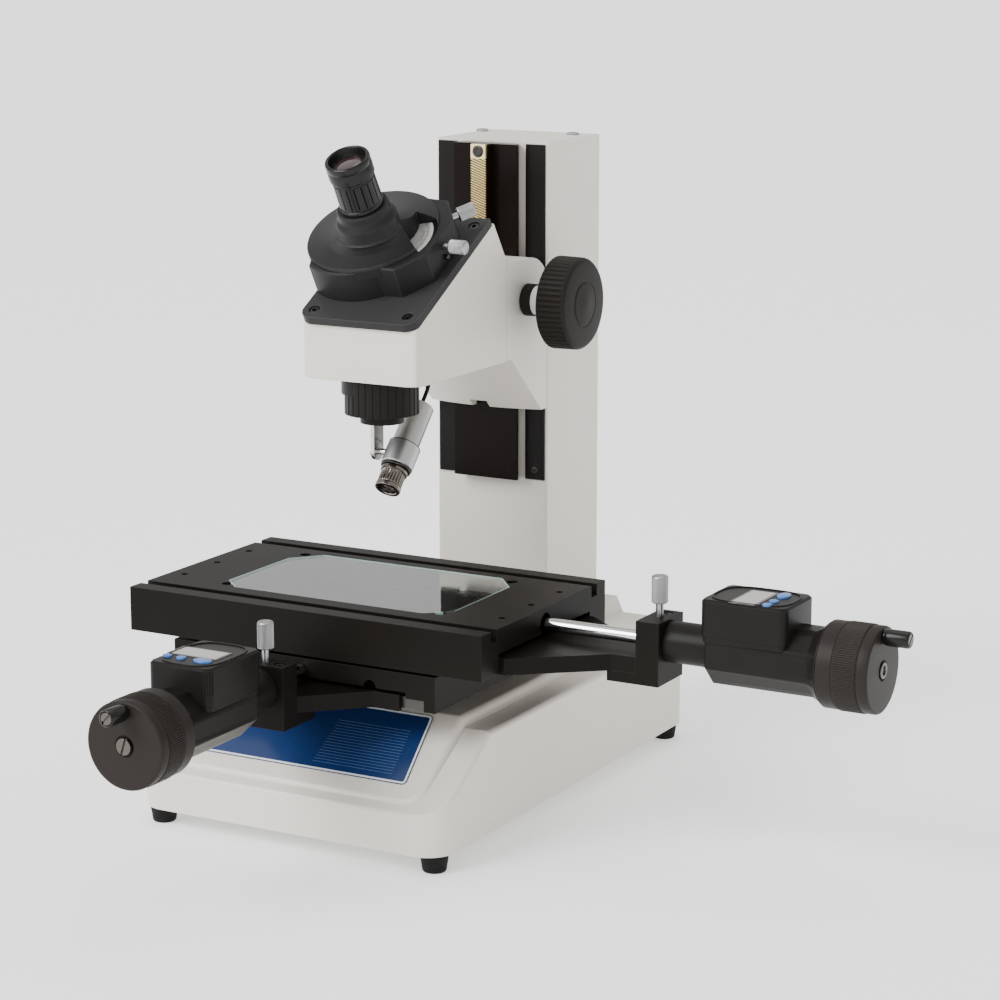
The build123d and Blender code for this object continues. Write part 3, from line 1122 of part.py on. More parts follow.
with BuildPart() as feed_screw:
    with BuildSketch(tilt_radial(37, FEED_ANGLE, FEED_D)):
        Circle(2)
    extrude(amount=FEED_HEAD_IN - 37)
    with BuildSketch(tilt_radial(FEED_HEAD_IN, FEED_ANGLE, FEED_D)):
        Circle(FEED_R)
    extrude(amount=FEED_HEAD_OUT - FEED_HEAD_IN)
    feed_end = feed_screw.faces().filter_by(GeomType.PLANE).sort_by(Axis.X)[-1]
    chamfer(feed_end.edges(), length=0.6)
save(feed_screw.part, "feed_screw")

with BuildPart() as dial_clamp_screw:
    with BuildSketch(lock_plane(25)):
        Circle(2)
    extrude(amount=13.4)
    with BuildSketch(lock_plane(38.4)):
        Circle(FEED_R)
    extrude(amount=10.9)
    chamfer(dial_clamp_screw.faces().sort_by(Axis.X)[-1].edges(), length=0.6)
save(dial_clamp_screw.part, "dial_clamp_screw")

with BuildPart() as eyepiece_body:
    with BuildSketch(tilt_plane(EYE_LOW_D - EYE_SPIGOT_L)):
        Circle(EYE_SPIGOT_R)
    extrude(amount=EYE_SPIGOT_L)
    with BuildSketch(tilt_plane(EYE_LOW_D)):
        Circle(13.4)
    extrude(amount=EYE_GRIP_D - EYE_LOW_D)
    with BuildSketch(tilt_plane(EYE_GRIP_D)):
        Circle(12.6)
        with PolarLocations(12.9, 16):
            Circle(0.8, mode=Mode.SUBTRACT)
    extrude(amount=EYE_RIM_D - EYE_GRIP_D)
    with BuildSketch(tilt_plane(EYE_RIM_D)):
        Circle(13.5)
    extrude(amount=EYE_TOP_D - EYE_RIM_D)
    fillet(eyepiece_body.faces().sort_by(Axis.Z)[-1].edges(), radius=1)
    with BuildSketch(tilt_plane(EYE_TOP_D)):
        Circle(11.2)
    with BuildSketch(tilt_plane(EYE_TOP_D - EYE_DISH)):
        Circle(9)
    loft(mode=Mode.SUBTRACT)
save(eyepiece_body.part, "eyepiece_body")

with BuildPart() as eyepiece_lens:
    with BuildSketch(tilt_plane(EYE_TOP_D - EYE_DISH)):
        Circle(9)
    extrude(amount=1.6, taper=12)
save(eyepiece_lens.part, "eyepiece_lens")

# objective and its side lamp
with BuildPart() as objective_mount:
    with BuildSketch(Plane.XY.offset(RING_LOW_Z)):
        with Locations((0, OPTIC_Y)):
            Circle(RING_R)
            with PolarLocations(RING_R + 0.3, 30):
                Circle(0.9, mode=Mode.SUBTRACT)
    extrude(amount=HEAD_LOW_Z - RING_LOW_Z)
    with BuildSketch(Plane.XY.offset(252)):
        with Locations((-2.2, OPTIC_Y + 1.4)):
            Circle(23.0)
    extrude(amount=HEAD_LOW_Z - 252)
    with BuildSketch(Plane.XY.offset(LENS_RING_LOW_Z)):
        with Locations((0, OPTIC_Y)):
            Circle(LENS_RING_R)
    extrude(amount=RING_LOW_Z - LENS_RING_LOW_Z)
    with BuildSketch(Plane.XY.offset(LENS_RING_LOW_Z)):
        with Locations((0, OPTIC_Y)):
            Circle(LENS_RING_R - 2.5)
    extrude(amount=3, mode=Mode.SUBTRACT)
save(objective_mount.part, "objective_mount")

LUG_LEFT_X = BAR_RIGHT_X + RUN_GAP
LUG_RIGHT_X = -7.0
with BuildPart() as lamp_bar:
    with BuildSketch(Plane.YZ.offset(BAR_RIGHT_X - BAR_T)):
        with Locations((BAR_MID_Y, (BAR_PIVOT_Z + RING_LOW_Z) / 2)):
            Rectangle(2 * BAR_HALF_Y, RING_LOW_Z - BAR_PIVOT_Z)
        with Locations((BAR_MID_Y, BAR_PIVOT_Z)):
            Circle(BAR_HALF_Y)
    extrude(amount=BAR_T)
    with BuildSketch(Plane.YZ.offset(BAR_RIGHT_X - BAR_T)):
        with Locations((BAR_MID_Y, BAR_PIVOT_Z)):
            Circle(3.4)
    extrude(amount=-1.8)
    with BuildSketch(Plane.YZ.offset(BAR_RIGHT_X)):
        with Locations((BAR_MID_Y, BAR_PIVOT_Z)):
            Circle(2)
    extrude(amount=LUG_RIGHT_X - BAR_RIGHT_X - RUN_GAP)
save(lamp_bar.part, "lamp_bar")

with BuildPart() as lamp_tube:
    with BuildSketch(lamp_plane(LAMP_NUT_L + RUN_GAP)):
        Circle(LAMP_LOW_R)
    extrude(amount=LAMP_SEAM_S - LAMP_NUT_L - RUN_GAP)
    with BuildSketch(lamp_plane(LAMP_SEAM_S)):
        Circle(LAMP_UP_R)
    extrude(amount=LAMP_TOP_S - LAMP_SEAM_S)
    fillet(lamp_tube.faces().sort_by(Axis.Z)[-1].edges(), radius=3)
    with BuildSketch(Plane.YZ.offset(LUG_LEFT_X)):
        with Locations((BAR_MID_Y, BAR_PIVOT_Z)):
            Circle(4.2)
    extrude(amount=-LUG_LEFT_X - 3)
    with BuildSketch(Plane.YZ.offset(LUG_LEFT_X)):
        with Locations((BAR_MID_Y, BAR_PIVOT_Z)):
            Circle(2 + SHAFT_GAP)
    extrude(amount=LUG_RIGHT_X - LUG_LEFT_X, mode=Mode.SUBTRACT)
    with BuildSketch(lamp_plane(LAMP_NUT_L + RUN_GAP)):
        Circle(5)
    extrude(amount=-7.5)
save(lamp_tube.part, "lamp_tube")

with BuildPart() as lamp_nut:
    with BuildSketch(lamp_plane(0)):
        Circle(LAMP_NUT_R + 0.4)
    extrude(amount=3)
    with BuildSketch(lamp_plane(3)):
        Circle(LAMP_NUT_R)
        with PolarLocations(LAMP_NUT_R + 0.2, 20):
            Circle(0.55, mode=Mode.SUBTRACT)
    extrude(amount=8.6)
    with BuildSketch(lamp_plane(11.6)):
        Circle(LAMP_NUT_R + 0.7)
    extrude(amount=LAMP_NUT_L - 11.6)
    with BuildSketch(lamp_plane(0)):
        Circle(5.6)
    extrude(amount=5.2, mode=Mode.SUBTRACT)
    with BuildSketch(lamp_plane(LAMP_NUT_L)):
        Circle(5 + SHAFT_GAP)
    extrude(amount=-7.6, mode=Mode.SUBTRACT)
save(lamp_nut.part, "lamp_nut")

LEAD_R = 1.25
lamp_top = lamp_plane(LAMP_TOP_S).origin
lean_tan = math.tan(math.radians(LAMP_LEAN))
lead_knee_z = lamp_top.Z + (LEAD_SLOT_Y - lamp_top.Y) / lean_tan
lead_end_z = HEAD_LOW_Z + LEAD_SLOT_DEEP / 2
lead_run = math.hypot(LEAD_SLOT_Y - lamp_top.Y, lead_knee_z - lamp_top.Z)
lead_bend = 0.45 * lead_run / math.tan(math.radians(LAMP_LEAN / 2))
with BuildPart() as lamp_lead:
    with BuildLine() as lead_path:
        FilletPolyline((0, lamp_top.Y, lamp_top.Z), (0, LEAD_SLOT_Y, lead_knee_z),
                       (0, LEAD_SLOT_Y, lead_end_z), radius=lead_bend)
    with BuildSketch(lamp_plane(LAMP_TOP_S)):
        Circle(LEAD_R)
    sweep()
save(lamp_lead.part, "lamp_lead")
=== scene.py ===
"""Dresses the measuring microscope: finishes, fine pieces, light and camera."""

import json
import logging
import math
from dataclasses import dataclass
from enum import Enum
from typing import Iterable, Mapping, Optional, Sequence, Union

import bmesh
import bpy
from mathutils import Matrix, Vector

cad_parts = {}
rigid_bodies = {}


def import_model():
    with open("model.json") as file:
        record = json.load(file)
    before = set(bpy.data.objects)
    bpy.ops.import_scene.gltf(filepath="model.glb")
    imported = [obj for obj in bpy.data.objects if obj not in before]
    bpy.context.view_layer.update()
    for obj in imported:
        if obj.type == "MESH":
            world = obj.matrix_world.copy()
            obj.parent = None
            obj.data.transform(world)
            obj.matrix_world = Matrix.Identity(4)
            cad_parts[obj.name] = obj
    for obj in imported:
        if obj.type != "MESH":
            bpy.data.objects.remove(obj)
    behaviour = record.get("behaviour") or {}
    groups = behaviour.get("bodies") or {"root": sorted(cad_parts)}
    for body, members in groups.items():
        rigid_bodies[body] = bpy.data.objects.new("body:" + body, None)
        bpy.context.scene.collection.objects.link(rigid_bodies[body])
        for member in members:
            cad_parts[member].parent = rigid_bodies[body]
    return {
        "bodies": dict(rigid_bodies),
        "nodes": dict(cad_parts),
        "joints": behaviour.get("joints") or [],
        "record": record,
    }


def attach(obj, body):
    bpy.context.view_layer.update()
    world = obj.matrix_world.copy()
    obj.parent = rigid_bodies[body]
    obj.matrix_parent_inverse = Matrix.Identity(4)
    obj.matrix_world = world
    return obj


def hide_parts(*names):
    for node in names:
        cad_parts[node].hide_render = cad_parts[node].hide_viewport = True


LOG = logging.getLogger("microscope")
MM = 0.001
# The focus shaft's place in millimetres: the carriage and the knobs share it.
SHAFT_Y = 110.9
SHAFT_Z = 297.3
# Lengths under this count as nothing.
TINY = 1e-6
# An outline's corner is moved inward as if it were no sharper than this cosine.
SHARPEST = 0.35
Colour = tuple[float, float, float, float]
Point = tuple[float, float]
Triple = tuple[float, float, float]
Piece = bpy.types.Object
Mesh = bmesh.types.BMesh
Vertex = bmesh.types.BMVert
Bent = Union[float, Vector]


# Shader sheets


class Wire:
    """One socket of a finish's node sheet, with arithmetic on it."""

    def __init__(self, sheet: "NodeSheet", socket: bpy.types.NodeSocket) -> None:
        """Keep the socket and the sheet that it lies on."""
        self.sheet = sheet
        self.socket = socket

    def _maths(self, operation: str, first: "Number", second: "Number") -> "Wire":
        """Add one Math node.

        Args:
            operation: the Math node's operation.
            first: its first value or wire.
            second: its second value or wire.

        Returns:
            The wire that carries the result.
        """
        settings = {"operation": operation}
        return self.sheet.add("ShaderNodeMath", settings, {0: first, 1: second})[0]

    def __add__(self, other: "Number") -> "Wire":
        """Return self + other."""
        return self._maths("ADD", self, other)

    def __radd__(self, other: "Number") -> "Wire":
        """Return other + self."""
        return self._maths("ADD", other, self)

    def __rsub__(self, other: "Number") -> "Wire":
        """Return other - self."""
        return self._maths("SUBTRACT", other, self)

    def __mul__(self, other: "Number") -> "Wire":
        """Return self * other."""
        return self._maths("MULTIPLY", self, other)

    def between(self) -> "Wire":
        """Return self held between 0 and 1."""
        return self._maths("MINIMUM", self._maths("MAXIMUM", self, 0.0), 1.0)


Number = Union[Wire, float]


class Outputs:
    """The outputs of one node, by name or by number."""

    def __init__(self, sheet: "NodeSheet", node: bpy.types.Node) -> None:
        """Keep the node and its sheet."""
        self.sheet = sheet
        self.node = node

    def __getitem__(self, key: Union[str, int]) -> Wire:
        """Return the wire that leaves this output."""
        return Wire(self.sheet, self.node.outputs[key])


class NodeSheet:
    """The node sheet of one material."""

    def __init__(self, name: str) -> None:
        """Start an empty sheet for a material of this name."""
        self.material = bpy.data.materials.new(name)
        self.material.use_nodes = True
        self.tree = self.material.node_tree
        self.tree.nodes.clear()

    def add(self, kind: str, settings: Optional[Mapping[str, object]] = None,
            sockets: Optional[Mapping[Union[str, int], object]] = None) -> Outputs:
        """Add one node.

        Args:
            kind: Blender's name for the node's type.
            settings: what is set on the node first.
            sockets: a value or a wire for each socket that isn't left as it is.

        Returns:
            The node's outputs.
        """
        node = self.tree.nodes.new(kind)
        for key, value in (settings or {}).items():
            setattr(node, key, value)
        for key, value in (sockets or {}).items():
            if isinstance(value, Wire):
                self.tree.links.new(value.socket, node.inputs[key])
            else:
                node.inputs[key].default_value = value
        return Outputs(self, node)

    def place(self) -> Wire:
        """Return the place on the piece, in metres."""
        return self.add("ShaderNodeTexCoord")["Object"]

    def noise(self, size_mm: float, detail: float = 2.0,
              stretch: Triple = (1.0, 1.0, 1.0)) -> Wire:
        """Add soft noise.

        Args:
            size_mm: how large its patches are.
            detail: how many finer layers it has.
            stretch: how long the patches are drawn along x, y and z.

        Returns:
            The wire that carries it, from 0 to 1.
        """
        scale = tuple(1.0 / (size_mm * MM * s) for s in stretch)
        spot = self.add("ShaderNodeVectorMath", {"operation": "MULTIPLY"},
                        {0: self.place(), 1: scale})[0]
        return self.add("ShaderNodeTexNoise", {"noise_dimensions": "3D"},
                        {"Vector": spot, "Scale": 1.0, "Detail": detail})[0]

    def mix(self, share: Number, first: object, second: object) -> Wire:
        """Mix two colours by a share, from 0 for the first to 1 for the second."""
        return self.add("ShaderNodeMix", {"data_type": "RGBA"},
                        {0: share, 6: first, 7: second})[2]

    def rounded(self, radius_mm: float) -> Wire:
        """Return the normal with every edge rounded by a radius."""
        return self.add("ShaderNodeBevel", {"samples": 4}, {"Radius": radius_mm * MM})[0]

    def edges(self, rounded: Wire, gain: float = 3.0) -> Wire:
        """Return a mask that is 1 on the edges and 0 elsewhere.

        Args:
            rounded: the normal with its edges rounded.
            gain: how strongly a turn of the normal counts.

        Returns:
            The mask's wire.
        """
        flat = self.add("ShaderNodeNewGeometry")["Normal"]
        along = self.add("ShaderNodeVectorMath", {"operation": "DOT_PRODUCT"},
                         {0: rounded, 1: flat})["Value"]
        return ((1.0 - along) * gain).between()

    def bump(self, height: Wire, depth_mm: float, normal: Optional[Wire] = None) -> Wire:
        """Raise a height over the surface.

        Args:
            height: the height's wire, from 0 to 1.
            depth_mm: how much a height of 1 stands for.
            normal: the normal that it is raised on, if not the face's own.

        Returns:
            The new normal's wire.
        """
        sockets: dict[Union[str, int], object] = {"Height": height, "Distance": depth_mm * MM}
        if normal is not None:
            sockets["Normal"] = normal
        return self.add("ShaderNodeBump", None, sockets)[0]

    def surface(self, sockets: Mapping[Union[str, int], object]) -> bpy.types.Material:
        """Close the sheet with its shader.

        Args:
            sockets: a value or a wire for each of the shader's sockets that is set.

        Returns:
            The finished material.
        """
        shader = self.add("ShaderNodeBsdfPrincipled", None, sockets)[0]
        self.add("ShaderNodeOutputMaterial", None, {"Surface": shader})
        return self.material


# Finishes


def grey(value: float) -> Colour:
    """Return a grey of this lightness."""
    return (value, value, value, 1.0)


@dataclass(frozen=True)
class CastPaint:
    """Sprayed paint with a fine grain, lighter along its edges: partly wear, partly a painted
    highlight.
    """

    name: str
    slot: str
    colour: Colour
    patch: Colour
    # The colour of the edges: partly wear, partly a painted highlight along each edge.
    edge: Colour
    grain_mm: float = 1.0
    grain_depth_mm: float = 0.05
    edge_mm: float = 0.5
    rough: float = 0.42
    coat: float = 0.0
    gloss: float = 0.5
    cloud_mm: float = 55.0
    wear_and_highlight_share: float = 0.45

    def make(self) -> bpy.types.Material:
        """Return the finish as a material."""
        sheet = NodeSheet(self.name)
        cloud = sheet.noise(self.cloud_mm, 3.0)
        grain = sheet.noise(self.grain_mm, 2.0)
        fine = sheet.noise(self.grain_mm * 0.4, 2.0)
        rounded = sheet.rounded(self.edge_mm)
        # Edges turn lighter: partly wear, partly a painted highlight where light catches each edge.
        wear_and_highlight = sheet.edges(rounded) * (self.wear_and_highlight_share + cloud * 0.5)
        tone = sheet.mix((cloud * 0.7 + grain * 0.3).between(), self.colour, self.patch)
        return sheet.surface({
            "Base Color": sheet.mix(wear_and_highlight, tone, self.edge),
            "Roughness": self.rough - 0.08 + grain * 0.12 + cloud * 0.06,
            "Normal": sheet.bump(grain * 0.7 + fine * 0.3, self.grain_depth_mm, rounded),
            "Coat Weight": self.coat,
            "Coat Roughness": 0.25,
            "Specular IOR Level": self.gloss,
        })


@dataclass(frozen=True)
class Moulded:
    """Moulded plastic or rubber with a spark-eroded grain."""

    name: str
    slot: str
    colour: Colour
    patch: Colour
    rough: float = 0.45
    grain_mm: float = 0.35
    grain_depth_mm: float = 0.02
    edge_mm: float = 0.35
    # The colour of the edges: partly rubbing, partly a painted highlight along each edge.
    edge: Colour = (0.06, 0.056, 0.052, 1.0)
    gloss: float = 0.10
    cloud_mm: float = 20.0
    wear_and_highlight_share: float = 0.25

    def make(self) -> bpy.types.Material:
        """Return the finish as a material."""
        sheet = NodeSheet(self.name)
        cloud = sheet.noise(self.cloud_mm, 3.0)
        grain = sheet.noise(self.grain_mm, 2.0)
        rounded = sheet.rounded(self.edge_mm)
        # Edges turn lighter: partly rubbing, partly a painted highlight where light catches each
        # edge.
        rub_and_highlight = sheet.edges(rounded) * (self.wear_and_highlight_share + cloud * 0.5)
        tone = sheet.mix(cloud, self.colour, self.patch)
        return sheet.surface({
            "Base Color": sheet.mix(rub_and_highlight, tone, self.edge),
            "Roughness": self.rough - 0.07 + grain * 0.08 + cloud * 0.07,
            "Normal": sheet.bump(grain, self.grain_depth_mm, rounded),
            "Specular IOR Level": self.gloss,
        })


@dataclass(frozen=True)
class Metal:
    """Bare or plated metal, with the fine lines that its tool left."""

    name: str
    slot: str
    colour: Colour
    patch: Colour
    rough: float = 0.3
    spread: float = 0.1
    line_mm: float = 0.25
    line_depth_mm: float = 0.006
    stretch: Triple = (1.0, 1.0, 1.0)
    edge_mm: float = 0.25
    cloud_mm: float = 12.0

    def make(self) -> bpy.types.Material:
        """Return the finish as a material."""
        sheet = NodeSheet(self.name)
        cloud = sheet.noise(self.cloud_mm, 3.0)
        lines = sheet.noise(self.line_mm, 2.0, self.stretch)
        rounded = sheet.rounded(self.edge_mm)
        return sheet.surface({
            "Base Color": sheet.mix((cloud * 0.6 + lines * 0.4).between(), self.colour, self.patch),
            "Metallic": 1.0,
            "Roughness": self.rough - self.spread / 2 + lines * self.spread,
            "Normal": sheet.bump(lines, self.line_depth_mm, rounded),
        })


@dataclass(frozen=True)
class Glass:
    """Clear or tinted glass, with a faint haze of dust."""

    name: str
    slot: str
    colour: Colour
    rough: float = 0.02
    through: float = 1.0
    index: float = 1.5
    dust_mm: float = 9.0
    haze_mm: float = 40.0

    def make(self) -> bpy.types.Material:
        """Return the finish as a material."""
        sheet = NodeSheet(self.name)
        dust = sheet.noise(self.dust_mm, 4.0)
        fine = sheet.noise(self.haze_mm, 2.0)
        return sheet.surface({
            "Base Color": sheet.mix((dust * 0.25).between(), self.colour, grey(0.9)),
            "Roughness": self.rough + dust * 0.03,
            "Normal": sheet.bump(fine, 0.02),
            "Transmission Weight": self.through,
            "IOR": self.index,
        })


@dataclass(frozen=True)
class Sheen:
    """A smooth printed, lacquered or coated face with a slow change of colour."""

    name: str
    slot: str
    colour: Colour
    patch: Colour
    rough: float = 0.3
    size_mm: float = 40.0
    coat: float = 0.0
    edge_mm: float = 0.2
    fine_mm: float = 0.5

    def make(self) -> bpy.types.Material:
        """Return the finish as a material."""
        sheet = NodeSheet(self.name)
        cloud = sheet.noise(self.size_mm, 2.0)
        fine = sheet.noise(self.fine_mm, 2.0)
        return sheet.surface({
            "Base Color": sheet.mix(cloud, self.colour, self.patch),
            "Roughness": self.rough - 0.04 + fine * 0.08,
            "Normal": sheet.bump(fine, 0.006, sheet.rounded(self.edge_mm)),
            "Coat Weight": self.coat,
            "Coat Roughness": 0.12,
        })


class Finishes(Enum):
    """Every finish on the instrument."""

    WHITE = CastPaint(
        "white_casting_paint", "white_paint", (0.745, 0.700, 0.630, 1), (0.710, 0.665, 0.595, 1),
        (0.88, 0.855, 0.80, 1), grain_mm=0.9, edge_mm=0.7, rough=0.38, coat=0.1)
    FLOOR_PLATE = CastPaint(
        "floor_plate_grey", "grey_paint", (0.42, 0.41, 0.39, 1), (0.36, 0.35, 0.33, 1),
        (0.55, 0.54, 0.52, 1), grain_mm=0.8, grain_depth_mm=0.04, edge_mm=0.3, rough=0.5)
    DRUM_BLACK = CastPaint(
        "drum_black_paint", "black_paint", (0.0140, 0.0136, 0.0140, 1), (0.0185, 0.0180, 0.0182, 1),
        (0.20, 0.198, 0.20, 1), grain_mm=0.35, grain_depth_mm=0.018, rough=0.40, gloss=0.10)
    SATIN_BLACK = CastPaint(
        "satin_black_paint", "black_paint", (0.0300, 0.0294, 0.0300, 1),
        (0.0370, 0.0362, 0.0365, 1), (0.16, 0.158, 0.16, 1), grain_mm=0.35, grain_depth_mm=0.018,
        gloss=0.08)
    GUIDE_BLACK = CastPaint(
        "guide_strip_black", "black_paint", (0.0060, 0.0054, 0.0052, 1),
        (0.0105, 0.0088, 0.0080, 1), (0.06, 0.055, 0.05, 1), grain_mm=0.6, grain_depth_mm=0.012,
        edge_mm=0.3, rough=0.34, gloss=0.12)
    DOVETAIL = CastPaint(
        "dovetail_black", "black_paint", (0.0045, 0.0032, 0.0028, 1), (0.0110, 0.0068, 0.0058, 1),
        (0.05, 0.04, 0.035, 1), grain_mm=2.4, grain_depth_mm=0.005, edge_mm=0.3, rough=0.22,
        gloss=0.07)
    STAGE = CastPaint(
        "stage_brown_black", "stage_black", (0.0062, 0.0052, 0.0044, 1),
        (0.0090, 0.0074, 0.0062, 1), (0.050, 0.043, 0.036, 1), grain_mm=0.5, grain_depth_mm=0.012,
        edge_mm=0.4, gloss=0.07)
    PLATE = Sheen(
        "front_plate_blue", "blue_plate", (0.006, 0.020, 0.088, 1), (0.010, 0.036, 0.130, 1),
        rough=0.26, size_mm=60.0, coat=0.2)
    PLATE_LINE = Sheen(
        "plate_line_white", "white_plastic", (0.78, 0.80, 0.82, 1), (0.70, 0.72, 0.75, 1),
        rough=0.35, size_mm=8.0)
    PLATE_STRIPE = Sheen(
        "plate_stripe_blue", "blue_plate", (0.060, 0.115, 0.26, 1), (0.035, 0.080, 0.20, 1),
        rough=0.32, size_mm=12.0)
    RUBBER = Moulded(
        "foot_rubber", "foot_rubber", (0.008, 0.008, 0.008, 1), (0.013, 0.0125, 0.012, 1),
        rough=0.62, grain_mm=0.5, grain_depth_mm=0.04, edge_mm=0.3, edge=(0.04, 0.04, 0.038, 1))
    PLASTIC = Moulded(
        "head_black_plastic", "black_plastic", (0.0085, 0.0075, 0.0068, 1),
        (0.0125, 0.0110, 0.0100, 1), rough=0.36, grain_mm=0.3, grain_depth_mm=0.010, edge_mm=0.4,
        edge=(0.065, 0.058, 0.052, 1))
    EYE_BLACK = Moulded(
        "eyepiece_black", "black_plastic", (0.0060, 0.0055, 0.0053, 1), (0.0095, 0.0088, 0.0083, 1),
        rough=0.24, grain_mm=0.3, grain_depth_mm=0.004, edge_mm=0.3, edge=(0.045, 0.042, 0.040, 1),
        gloss=0.22)
    WHEEL = Moulded(
        "hand_wheel_brown_black", "black_plastic", (0.0175, 0.0140, 0.0122, 1),
        (0.0225, 0.0185, 0.0160, 1), rough=0.42, grain_mm=0.3, grain_depth_mm=0.012, edge_mm=0.4,
        edge=(0.075, 0.066, 0.058, 1))
    KNOB = Moulded(
        "knob_charcoal", "knob_plastic", (0.0130, 0.0108, 0.0092, 1), (0.0175, 0.0150, 0.0132, 1),
        rough=0.5, grain_depth_mm=0.016, edge=(0.07, 0.064, 0.058, 1))
    GLOSS_BLACK = Sheen(
        "gloss_black", "black_plastic", (0.0045, 0.0042, 0.0042, 1), (0.0080, 0.0072, 0.0068, 1),
        rough=0.14, size_mm=15.0, coat=0.25)
    WHITE_RING = Sheen(
        "white_ring", "white_plastic", (0.80, 0.80, 0.80, 1), (0.73, 0.73, 0.73, 1), rough=0.35,
        size_mm=8.0)
    BUTTON = Sheen(
        "button_blue", "blue_plastic", (0.035, 0.135, 0.42, 1), (0.05, 0.17, 0.50, 1), rough=0.25,
        size_mm=6.0, coat=0.3)
    DISPLAY = Sheen(
        "display_warm_grey", "lcd_grey", (0.36, 0.35, 0.325, 1), (0.41, 0.40, 0.37, 1), rough=0.22,
        size_mm=14.0, coat=0.2)
    # The rack's own brass painted darker: painted shade in the grooves between its teeth.
    GROOVE_SHADE_BRASS = Metal(
        "rack_brass_painted_groove_shade", "rack_brass", (0.10, 0.065, 0.025, 1), (0.06, 0.040, 0.015, 1),
        rough=0.35, spread=0.16, line_mm=0.3, stretch=(6.0, 1.0, 1.0))
    BRASS = Metal(
        "rack_brass", "rack_brass", (0.95, 0.80, 0.46, 1), (0.88, 0.70, 0.36, 1), rough=0.36,
        spread=0.16, line_mm=0.3, stretch=(6.0, 1.0, 1.0))
    STEEL = Metal(
        "turned_steel", "plain_steel", (0.62, 0.61, 0.60, 1), (0.52, 0.51, 0.50, 1), rough=0.20,
        spread=0.12, line_mm=0.12, line_depth_mm=0.004)
    BRIGHT_STEEL = Metal(
        "ground_spindle", "plain_steel", (0.80, 0.80, 0.80, 1), (0.70, 0.70, 0.70, 1), rough=0.12,
        spread=0.08, line_mm=0.2, line_depth_mm=0.002, stretch=(4.0, 4.0, 4.0))
    SCREW_DARK = Metal(
        "screw_dark_steel", "dark_steel", (0.13, 0.12, 0.105, 1), (0.085, 0.078, 0.070, 1),
        rough=0.32, spread=0.16, line_mm=0.18)
    SCREW_BLACK = Metal(
        "socket_screw_black", "dark_steel", (0.045, 0.043, 0.042, 1), (0.07, 0.066, 0.062, 1),
        rough=0.35, spread=0.15, line_mm=0.2, line_depth_mm=0.005)
    RAIL = Metal(
        "ground_rail", "rail_silver", (0.085, 0.082, 0.076, 1), (0.055, 0.053, 0.048, 1),
        rough=0.36, spread=0.2, line_depth_mm=0.008, stretch=(8.0, 1.0, 1.0))
    LAMP = Metal(
        "lamp_satin_silver", "lamp_silver", (0.50, 0.50, 0.50, 1), (0.45, 0.45, 0.445, 1),
        rough=0.40, spread=0.08, line_mm=0.2, line_depth_mm=0.005)
    KNURL = Metal(
        "knurled_nickel", "knurl_silver", (0.42, 0.42, 0.425, 1), (0.32, 0.32, 0.325, 1),
        rough=0.34, spread=0.14, line_mm=0.2, line_depth_mm=0.008)
    CHROME = Metal(
        "chrome_ring", "chrome_ring", (0.12, 0.10, 0.085, 1), (0.26, 0.235, 0.21, 1), rough=0.18,
        line_mm=0.3, line_depth_mm=0.004)
    DIAL = Sheen(
        "dial_silver_white", "dial_white", (0.56, 0.56, 0.54, 1), (0.48, 0.48, 0.46, 1), rough=0.4,
        size_mm=6.0)
    VERNIER = Sheen(
        "vernier_silver", "dial_white", (0.40, 0.39, 0.37, 1), (0.33, 0.32, 0.30, 1), rough=0.35,
        size_mm=6.0)
    INK = Sheen(
        "engraved_ink", "black_paint", (0.02, 0.02, 0.02, 1), (0.05, 0.05, 0.05, 1), rough=0.5,
        size_mm=2.0)
    STAGE_GLASS = Glass("stage_glass", "stage_glass", (0.86, 0.95, 0.91, 1), rough=0.01)
    # The glass's own green edge, painted bright as the edge's highlight.
    EDGE_GLASS_HIGHLIGHT = Sheen(
        "glass_edge_green_highlight", "stage_glass", (0.40, 0.62, 0.54, 1), (0.30, 0.52, 0.45, 1), rough=0.18,
        size_mm=12.0, coat=0.5)
    EYE_LENS = Sheen(
        "eye_lens_coated", "lens_glass", (0.06, 0.018, 0.016, 1), (0.012, 0.012, 0.016, 1),
        rough=0.04, size_mm=7.0, coat=1.0)
    BLUE_LENS = Sheen(
        "objective_lens_coated", "lens_glass", (0.012, 0.014, 0.03, 1), (0.02, 0.012, 0.03, 1),
        rough=0.05, size_mm=7.0, coat=1.0)


# Turning and cutting


@dataclass(frozen=True)
class Stand:
    """Where a piece stands: its origin in millimetres and its own directions."""

    origin: Triple
    across: Triple = (1.0, 0.0, 0.0)
    axis: Triple = (0.0, 0.0, 1.0)

    def at(self, x: float, y: float, z: float) -> Vector:
        """Carry a point of the piece into the instrument's frame.

        Args:
            x: its place along the piece's own x, in millimetres.
            y: its place along the piece's own y.
            z: its place along the piece's axis.

        Returns:
            The point, in metres.
        """
        across = Vector(self.across).normalized()
        axis = Vector(self.axis).normalized()
        side = axis.cross(across)
        return (Vector(self.origin) + across * x + side * y + axis * z) * MM

    def moved(self, x: float, y: float, z: float) -> "Stand":
        """Return the same stand with its origin at this point of its own."""
        spot = self.at(x, y, z) / MM
        return Stand((spot.x, spot.y, spot.z), self.across, self.axis)


UPRIGHT = Stand((0.0, 0.0, 0.0))


@dataclass(frozen=True)
class Ring:
    """One ring of a turned piece: its ribs' depth, its sides if any, and its own middle."""

    radius: float
    height: float
    rib: float = 0.0
    sides: int = 0
    x: float = 0.0
    y: float = 0.0


@dataclass(frozen=True)
class Turning:
    """How an outline is turned.

    Attributes:
        around: how many steps a full turn has.
        ribs: how many ribs stand round it.
        land: the share of each rib's pitch that is flat.
        closed: whether the last ring joins the first, as in a hollow ring.
        flat: how much it is pressed along its own y.
    """

    around: int = 64
    ribs: int = 0
    land: float = 0.5
    closed: bool = False
    flat: float = 1.0


